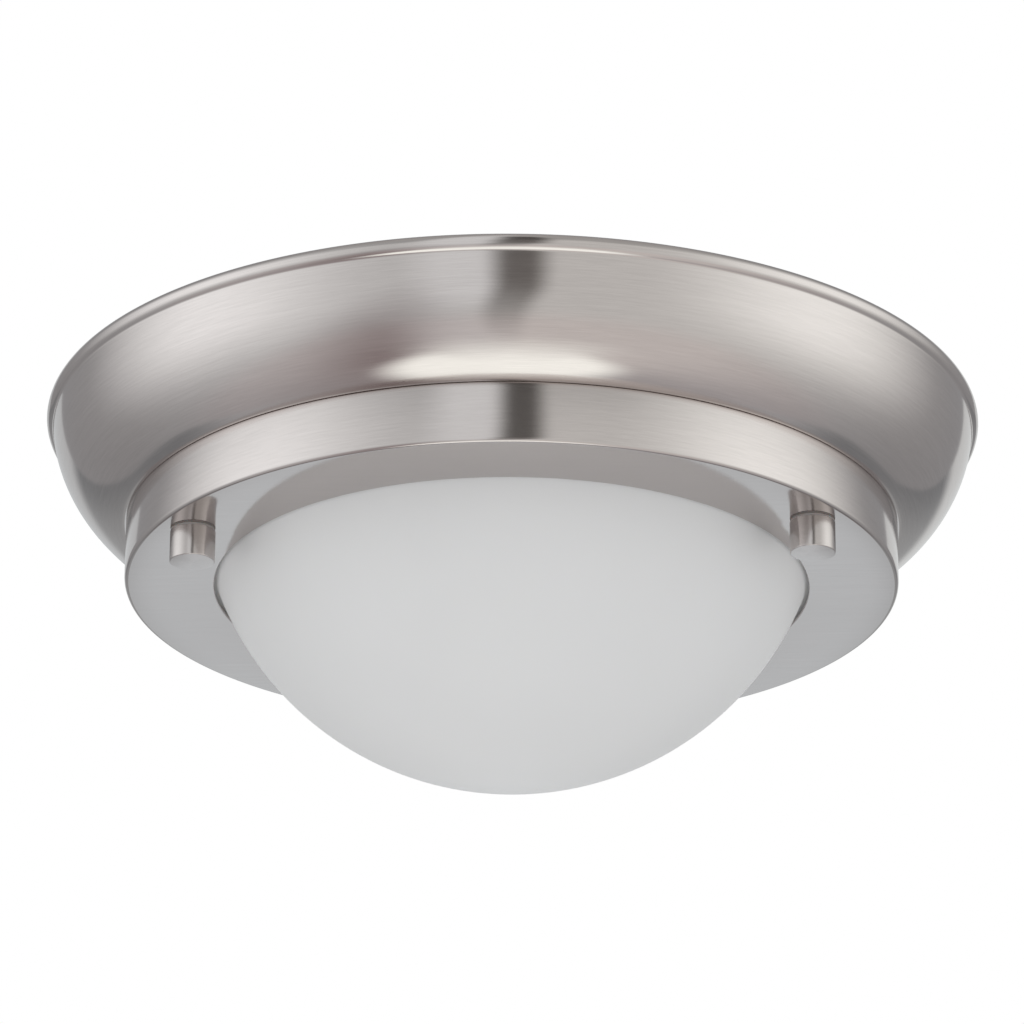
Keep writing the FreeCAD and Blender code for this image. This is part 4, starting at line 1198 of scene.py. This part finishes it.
@dataclass
class LightEngine:
    """Light sources in rings on their board, their solder and the connector. Lengths are millimetres."""

    pitch: float = 12.8
    length: float = 3.5
    width: float = 2.8
    height: float = 0.7
    corner_r: float = 0.12
    well_rim: float = 0.35
    well_depth: float = 0.18
    fill_rim: float = 0.45
    fill_h: float = 0.25
    fill_sunk: float = 0.08
    solder_h: float = 0.32
    solder_w: float = 0.7

    def places(self) -> list[Matrix]:
        """Place of each light source.

        Returns:
            One matrix for each.
        """
        rings = [(radius, int(math.tau * radius / self.pitch)) for radius in Finishes.BOARD_RINGS]
        return [turn(360.0 * i / count) @ placed(radius, 0, 0)
                for radius, count in rings for i in range(count)]

    def frame_shape(self) -> Mesh:
        """White frame of one light source, with the well that holds the phosphor.

        Returns:
            The mesh.
        """
        low, rim = BOARD_LOW - self.height, 2 * self.well_rim
        mesh = slab(self.width, self.length, self.height, low)
        eased(mesh, self.corner_r, upright(mesh), 1)
        return carved(mesh, slab(self.width - rim, self.length - rim, 1.0 + self.well_depth, low - 1.0))

    def fill_shape(self) -> Mesh:
        """Phosphor in the well, a little domed.

        Returns:
            The mesh.
        """
        low, rim = BOARD_LOW - self.height + self.fill_sunk, 2 * self.fill_rim
        mesh = slab(self.width - rim, self.length - rim, self.fill_h, low)
        bmesh.ops.inset_region(mesh, faces=[lowest(mesh)], thickness=0.35 * MM, depth=0.05 * MM)
        return mesh

    def solder_shape(self) -> Mesh:
        """Solder fillets at the two ends of one light source.

        Returns:
            The mesh.
        """
        parts = []
        for side in (-1, 1):
            mesh = slab(self.width - 0.6, self.solder_w, self.solder_h, BOARD_LOW - self.solder_h)
            tapered(mesh, BOARD_LOW - 0.2, (0.85, 0.35, 1.0))
            parts.append(moved(mesh, placed(0, side * (self.length / 2 + 0.12), 0)))
        return joined(parts)

    def build(self) -> None:
        """Makes the light sources, their solder and the connector."""
        spots = self.places()
        piece("led_frames", copies(self.frame_shape(), spots), Finishes.CONNECTOR, "led_packages")
        piece("led_fills", copies(self.fill_shape(), spots), Finishes.PHOSPHOR)
        piece("led_solder", copies(self.solder_shape(), spots), Finishes.TINNED)
        softened("led_connector", "moulded", Finishes.CONNECTOR, 0.25)


# ---- Wiring side ----


@dataclass
class WiringSide:
    """Strap, driver and terminal block above the pan floor. Lengths are millimetres."""

    driver_y: float = 40.0
    driver_l: float = 82.0
    driver_w: float = 42.0
    driver_h: float = 21.0
    corner_r: float = 3.0
    lid_t: float = 2.0
    lid_edge: float = 0.6
    panel_rim: float = 5.0
    panel_r: float = 1.5
    panel_edge: float = 0.15
    panel_depth: float = 0.35
    lip_h: float = 2.5
    lip_t: float = 1.2
    lip_gap: float = 2.0

    def lid(self) -> None:
        """Driver lid with rounded edges, a sunk panel and its lip."""
        low = FLOOR_TOP + self.driver_h - self.lid_t
        sunk = low + self.lid_t - self.panel_depth
        top = slab(self.driver_l, self.driver_w, self.lid_t, low)
        eased(top, self.corner_r, upright(top), 8)
        eased(top, self.lid_edge, rim_edges(top, low + self.lid_t), 4)
        panel = slab(self.driver_l - 2 * self.panel_rim, self.driver_w - 2 * self.panel_rim, 1.0, sunk)
        eased(panel, self.panel_r, upright(panel), 6)
        eased(panel, self.panel_edge, rim_edges(panel, sunk), 2)
        lip_l, lip_w = self.driver_l - 2 * self.lip_gap, self.driver_w - 2 * self.lip_gap
        lip = slab(lip_l, lip_w, self.lip_h, low - self.lip_h)
        bottom = lowest(lip)
        bmesh.ops.inset_region(lip, faces=[bottom], thickness=self.lip_t * MM, depth=0.0)
        bmesh.ops.translate(lip, vec=(0, 0, (self.lip_h - 0.1) * MM), verts=bottom.verts)
        whole = moved(joined([carved(top, panel), lip]), placed(0, self.driver_y, 0))
        piece("driver_lid_moulded", whole, Finishes.DRIVER, "driver_lid")

    def build(self) -> None:
        """Makes the pieces of the wiring side."""
        self.lid()
        softened("driver_case", "moulded", Finishes.DRIVER, 0.3)
        softened("terminal_block", "moulded", Finishes.TERMINAL, 0.2)
        softened("terminal_base", "moulded", Finishes.TERMINAL, 0.15)
        softened("mounting_strap", "pressed", Finishes.ZINC, 0.3)


# ---- Carried nodes ----


class Dressing:
    """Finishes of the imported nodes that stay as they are."""

    NODES = {
        Finishes.SILICONE: ("glass_gasket",),
        Finishes.ZINC: ("clip_nuts", "stud_lock_nuts", "earth_nut"),
        Finishes.TINNED: ("earth_ring_terminal",),
        Finishes.BRASS: ("terminal_contacts",),
        Finishes.RUBBER: ("wire_grommet",),
        Finishes.GREEN_BOARD: ("driver_board",),
        Finishes.FERRITE: ("driver_transformer", "driver_inductor"),
        Finishes.SLEEVE: ("driver_capacitors",),
        Finishes.WHITE: ("led_tray",),
        Finishes.BOARD: ("led_board",),
        Finishes.BLACK_WIRE: ("lead_live", "lead_led_minus"),
        Finishes.WHITE_WIRE: ("lead_neutral",),
        Finishes.GREEN_WIRE: ("lead_earth",),
        Finishes.RED_WIRE: ("lead_led_plus",),
    }

    def build(self) -> None:
        """Gives each carried node its finish. The other nodes have a piece that stands for them."""
        for finish, names in self.NODES.items():
            for name in names:
                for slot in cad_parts[name].material_slots:
                    slot.material = finish.material()
            LOG.info("%s dressed in %s", ", ".join(names), finish.name())


# ---- Studio ----


class Surroundings(Shader):
    """World that metal mirrors as a plain soft studio. Its parts are told in degrees, by where a ray goes.

    side is the way that it goes, counted from the camera's to the right, off is how far that is from the
    camera's to either hand, and rise is its rise above the horizon.
    """

    def __init__(self, heading: float) -> None:
        """Makes the world and works out where a ray goes.

        Args:
            heading: Turn of the camera about Z, in degrees.
        """
        world = bpy.data.worlds.new("studio")
        bpy.context.scene.world = world
        super().__init__(world)
        links = {"Vector": self.node("ShaderNodeTexCoord", {}).outputs["Generated"],
                 "Angle": -math.radians(heading)}
        turned = self.node("ShaderNodeVectorRotate", links, rotation_type="Z_AXIS").outputs[0]
        x, y, z = self.xyz(self.vector("NORMALIZE", turned))
        to_degrees = math.degrees(1.0)
        self.side = self.times(self.math("ARCTAN2", x, self.times(y, -1.0)), to_degrees)
        self.off = self.math("ABSOLUTE", self.side)
        self.rise = self.times(self.math("ARCSINE", z), to_degrees)

    def across(self, *span: float) -> Socket:
        """Fade with the side that a ray goes to."""
        return self.fade(self.side, *span)

    def aside(self, *span: float) -> Socket:
        """Fade with how far off a ray goes."""
        return self.fade(self.off, *span)

    def up(self, *span: float) -> Socket:
        """Fade with the rise of a ray."""
        return self.fade(self.rise, *span)

    def room(self) -> Socket:
        """Colour of the room in front and behind, with a large white panel to each hand.

        Returns:
            The colour.
        """
        front = self.blend(self.across(-18.0, 8.0), (0.73, 0.75, 0.75), (0.76, 0.77, 0.752))
        front = self.blend(self.up(20.0, 45.0, 0.0, 0.35), front, BLACK)
        glow = self.times(self.fade(self.away(self.side, -12.5), 17.0, 3.0), self.up(-44.0, -23.0))
        front = self.blend(glow, front, (0.9, 0.93, 0.94))
        back = self.blend(self.up(-24.0, -58.0), (0.345, 0.348, 0.356), (0.46, 0.47, 0.48))
        base = self.blend(self.aside(58.0, 147.0), front, back)
        base = self.blend(self.up(50.0, 80.0, 0.0, 0.6), base, (0.5, 0.49, 0.48))
        wider = self.times(self.aside(78.0, 100.0, 0.0, 4.5), self.up(14.0, 21.0))
        apart = self.away(self.math("SUBTRACT", self.off, wider), 77.5)
        panel = self.times(self.fade(apart, 50.6, 1.0), self.up(-51.0, -5.5), self.up(66.0, 14.5))
        white = self.blend(self.across(-30.0, 30.0), (1.26, 1.3, 1.31), (1.3, 1.335, 1.31))
        return self.blend(panel, base, white)

    def dusk(self) -> tuple[Socket, object]:
        """Brown edge of the room low on the left, which runs in a bow.

        Returns:
            Its share and its colour.
        """
        bow = self.math("POWER", self.math("ADD", self.side, 132.0), 2.0)
        edge = self.math("SUBTRACT", self.times(bow, 0.004), 85.3)
        under = self.math("SUBTRACT", edge, self.rise)
        share = self.times(self.fade(under, -36.3, 0.0), self.fade(under, 35.2, -1.7),
                           self.across(-10.0, -47.0, 0.0, 0.58), self.across(-165.0, -140.0),
                           self.up(-55.0, -68.0, 1.0, 1.2))
        return share, (0.15, 0.09, 0.095)

    def table(self) -> tuple[Socket, object]:
        """White table below, with a softer edge towards the camera.

        Returns:
            Its share and its colour.
        """
        slope = self.math("ADD", self.rise, self.across(-50.0, 50.0, -1.6, 1.6))
        share = self.choose(self.aside(35.0, 65.0), self.up(-59.0, -90.0), self.fade(slope, -71.0, -78.3))
        return share, (1.42, 1.54, 1.48)

    def gap(self) -> tuple[Socket, object]:
        """Narrow dark gap between the panels at the camera.

        Returns:
            Its share and its colour.
        """
        middle = self.math("ADD", 1.5, self.up(5.0, 25.0, 0.0, 1.3))
        middle = self.math("SUBTRACT", middle, self.up(-15.0, -50.0, 0.0, 4.4))
        share = self.times(self.fade(self.away(self.side, middle), 9.6, 2.2, 0.0, 0.9),
                           self.up(-76.5, -9.0), self.up(70.0, 50.0))
        return share, self.blend(self.up(2.0, 18.0), (0.135, 0.125, 0.118), (0.07, 0.064, 0.06))

    def sheet(self) -> tuple[Socket, object]:
        """Backdrop behind, with a hard edge: white above, in its own shade below.

        Returns:
            Its share and its colour.
        """
        lower = self.blend(self.aside(147.0, 166.0), (0.25, 0.26, 0.27), (0.41, 0.425, 0.43))
        lower = self.blend(self.aside(170.0, 177.0), lower, (0.785, 0.84, 0.87))
        lower = self.blend(self.up(-38.0, -52.0, 0.0, 0.7), lower, (0.55, 0.585, 0.6))
        foot = self.times(self.up(-26.0, -31.0), self.aside(148.0, 156.0), self.aside(174.0, 166.0))
        lower = self.blend(foot, lower, (0.25, 0.225, 0.225))
        upper = self.blend(self.across(-150.0, 150.0), (0.6, 0.62, 0.63), (0.71, 0.73, 0.73))
        reach = self.math("ADD", self.off, self.up(-22.0, -44.0, 0.0, 13.4))
        share = self.times(self.fade(reach, 147.0, 148.5), self.up(-64.0, -56.0), self.up(40.0, 28.0))
        return share, self.blend(self.up(0.0, 8.0), lower, upper)

    def build(self, level: float) -> None:
        """White to the camera, a plain level on matt surfaces, and the soft studio in what metal mirrors.

        Args:
            level: Level on matt surfaces, 1 for white.
        """
        mirrored = self.room()
        for share, colour in (self.dusk(), self.table(), self.gap(), self.sheet()):
            mirrored = self.blend(share, mirrored, colour)
        warmth = self.blend(self.up(-37.0, -52.0), WHITE, (1.035, 0.985, 0.98))
        mirrored = self.vector("MULTIPLY", mirrored, warmth)
        matt = self.blend(self.up(-35.0, -90.0, 0.0, 0.22), tinted(WHITE, level), BLACK)
        path = self.node("ShaderNodeLightPath", {}).outputs
        seen = self.math("MAXIMUM", path["Is Camera Ray"], path["Is Transmission Ray"])
        colour = self.blend(seen, self.blend(path["Is Glossy Ray"], matt, mirrored), WHITE)
        studio = self.node("ShaderNodeBackground", {"Color": colour, "Strength": 1.0})
        self.node("ShaderNodeOutputWorld", {0: studio.outputs[0]})


@dataclass
class Studio:
    """Camera, lamps, surroundings and floor. Places are metres and angles degrees."""

    place: Triple = (0.07972, -1.42587, -0.6066)
    heading: float = 3.2
    pitch: float = 22.227
    roll: float = 0.373
    lens: float = 221.56
    sensor: float = 36.0
    clip: tuple[float, float] = (0.05, 30.0)
    matt_level: float = 0.75
    lamp_powers: tuple[float, float] = (10.5, 11.0)
    lamp_place: Triple = (1.7, -1.3, -1.85)
    lamp_aim: Triple = (0.0, 0.0, -0.04)
    lamp_size: float = 2.0
    floor_z: float = -2.7
    floor_r: float = 6.0
    floor_tone: Triple = (0.85, 0.85, 0.85)
    floor_white: float = 0.85

    def camera(self) -> None:
        """Camera at the photograph's place."""
        heading, tip, tilt = (math.radians(value) for value in (self.heading, self.pitch, self.roll))
        ahead = Vector((-math.sin(heading) * math.cos(tip), math.cos(heading) * math.cos(tip), math.sin(tip)))
        right = Vector((math.cos(heading), math.sin(heading), 0))
        above = right.cross(ahead)
        across = right * math.cos(tilt) + above * math.sin(tilt)
        upward = above * math.cos(tilt) - right * math.sin(tilt)
        data = bpy.data.cameras.new("camera")
        data.lens, data.sensor_width = self.lens, self.sensor
        data.clip_start, data.clip_end = self.clip
        made = bpy.data.objects.new("camera", data)
        turned = Matrix((across, upward, -ahead)).transposed().to_4x4()
        made.matrix_world = Matrix.Translation(self.place) @ turned
        bpy.context.scene.collection.objects.link(made)
        bpy.context.scene.camera = made

    def lamps(self) -> None:
        """Two large soft lamps low in front, to the left and the right, that face the light."""
        out, front, height = self.lamp_place
        for name, side, power in zip(("left_lamp", "right_lamp"), (-1, 1), self.lamp_powers):
            data = bpy.data.lights.new(name, "AREA")
            data.shape, data.size, data.energy = "DISK", self.lamp_size, power
            made = bpy.data.objects.new(name, data)
            made.location = (side * out, front, height)
            made.rotation_mode = "QUATERNION"
            made.rotation_quaternion = (Vector(self.lamp_aim) - made.location).to_track_quat("-Z", "Y")
            made.visible_camera = made.visible_glossy = False
            bpy.context.scene.collection.objects.link(made)

    def floor(self) -> None:
        """Pale floor far below, nearly white to the camera except where the light's shadow falls."""
        mesh = bmesh.new()
        bmesh.ops.create_circle(mesh, cap_ends=True, segments=64, radius=self.floor_r)
        made = as_object("floor", moved(mesh, Matrix.Translation((0, 0, self.floor_z))))
        material = bpy.data.materials.new("pale_floor")
        shader = Shader(material)
        plain = shader.node("ShaderNodeBsdfDiffuse", {"Color": self.floor_tone})
        white = shader.node("ShaderNodeEmission", {"Color": WHITE, "Strength": 1.0})
        path = shader.node("ShaderNodeLightPath", {}).outputs
        share = shader.times(path["Is Camera Ray"], self.floor_white)
        mix = shader.node("ShaderNodeMixShader", {0: share, 1: plain.outputs[0], 2: white.outputs[0]})
        shader.node("ShaderNodeOutputMaterial", {0: mix.outputs[0]})
        made.data.materials.append(material)
        made.visible_glossy = made.visible_diffuse = made.visible_transmission = False

    def build(self) -> None:
        """Sets up the studio."""
        self.camera()
        Surroundings(self.heading).build(self.matt_level)
        self.lamps()
        self.floor()
        bpy.context.scene.view_settings.view_transform = "Standard"


def main() -> None:
    """Dresses and builds the light, then sets up the studio."""
    logging.basicConfig(level=logging.INFO, format="%(name)s: %(message)s")
    for part in (Dressing(), Pan(), Fasteners(), ThumbNuts(), Cover(), LightEngine(), WiringSide(), Studio()):
        LOG.info("building %s", type(part).__name__)
        part.build()


if __name__ == "__main__":
    main()
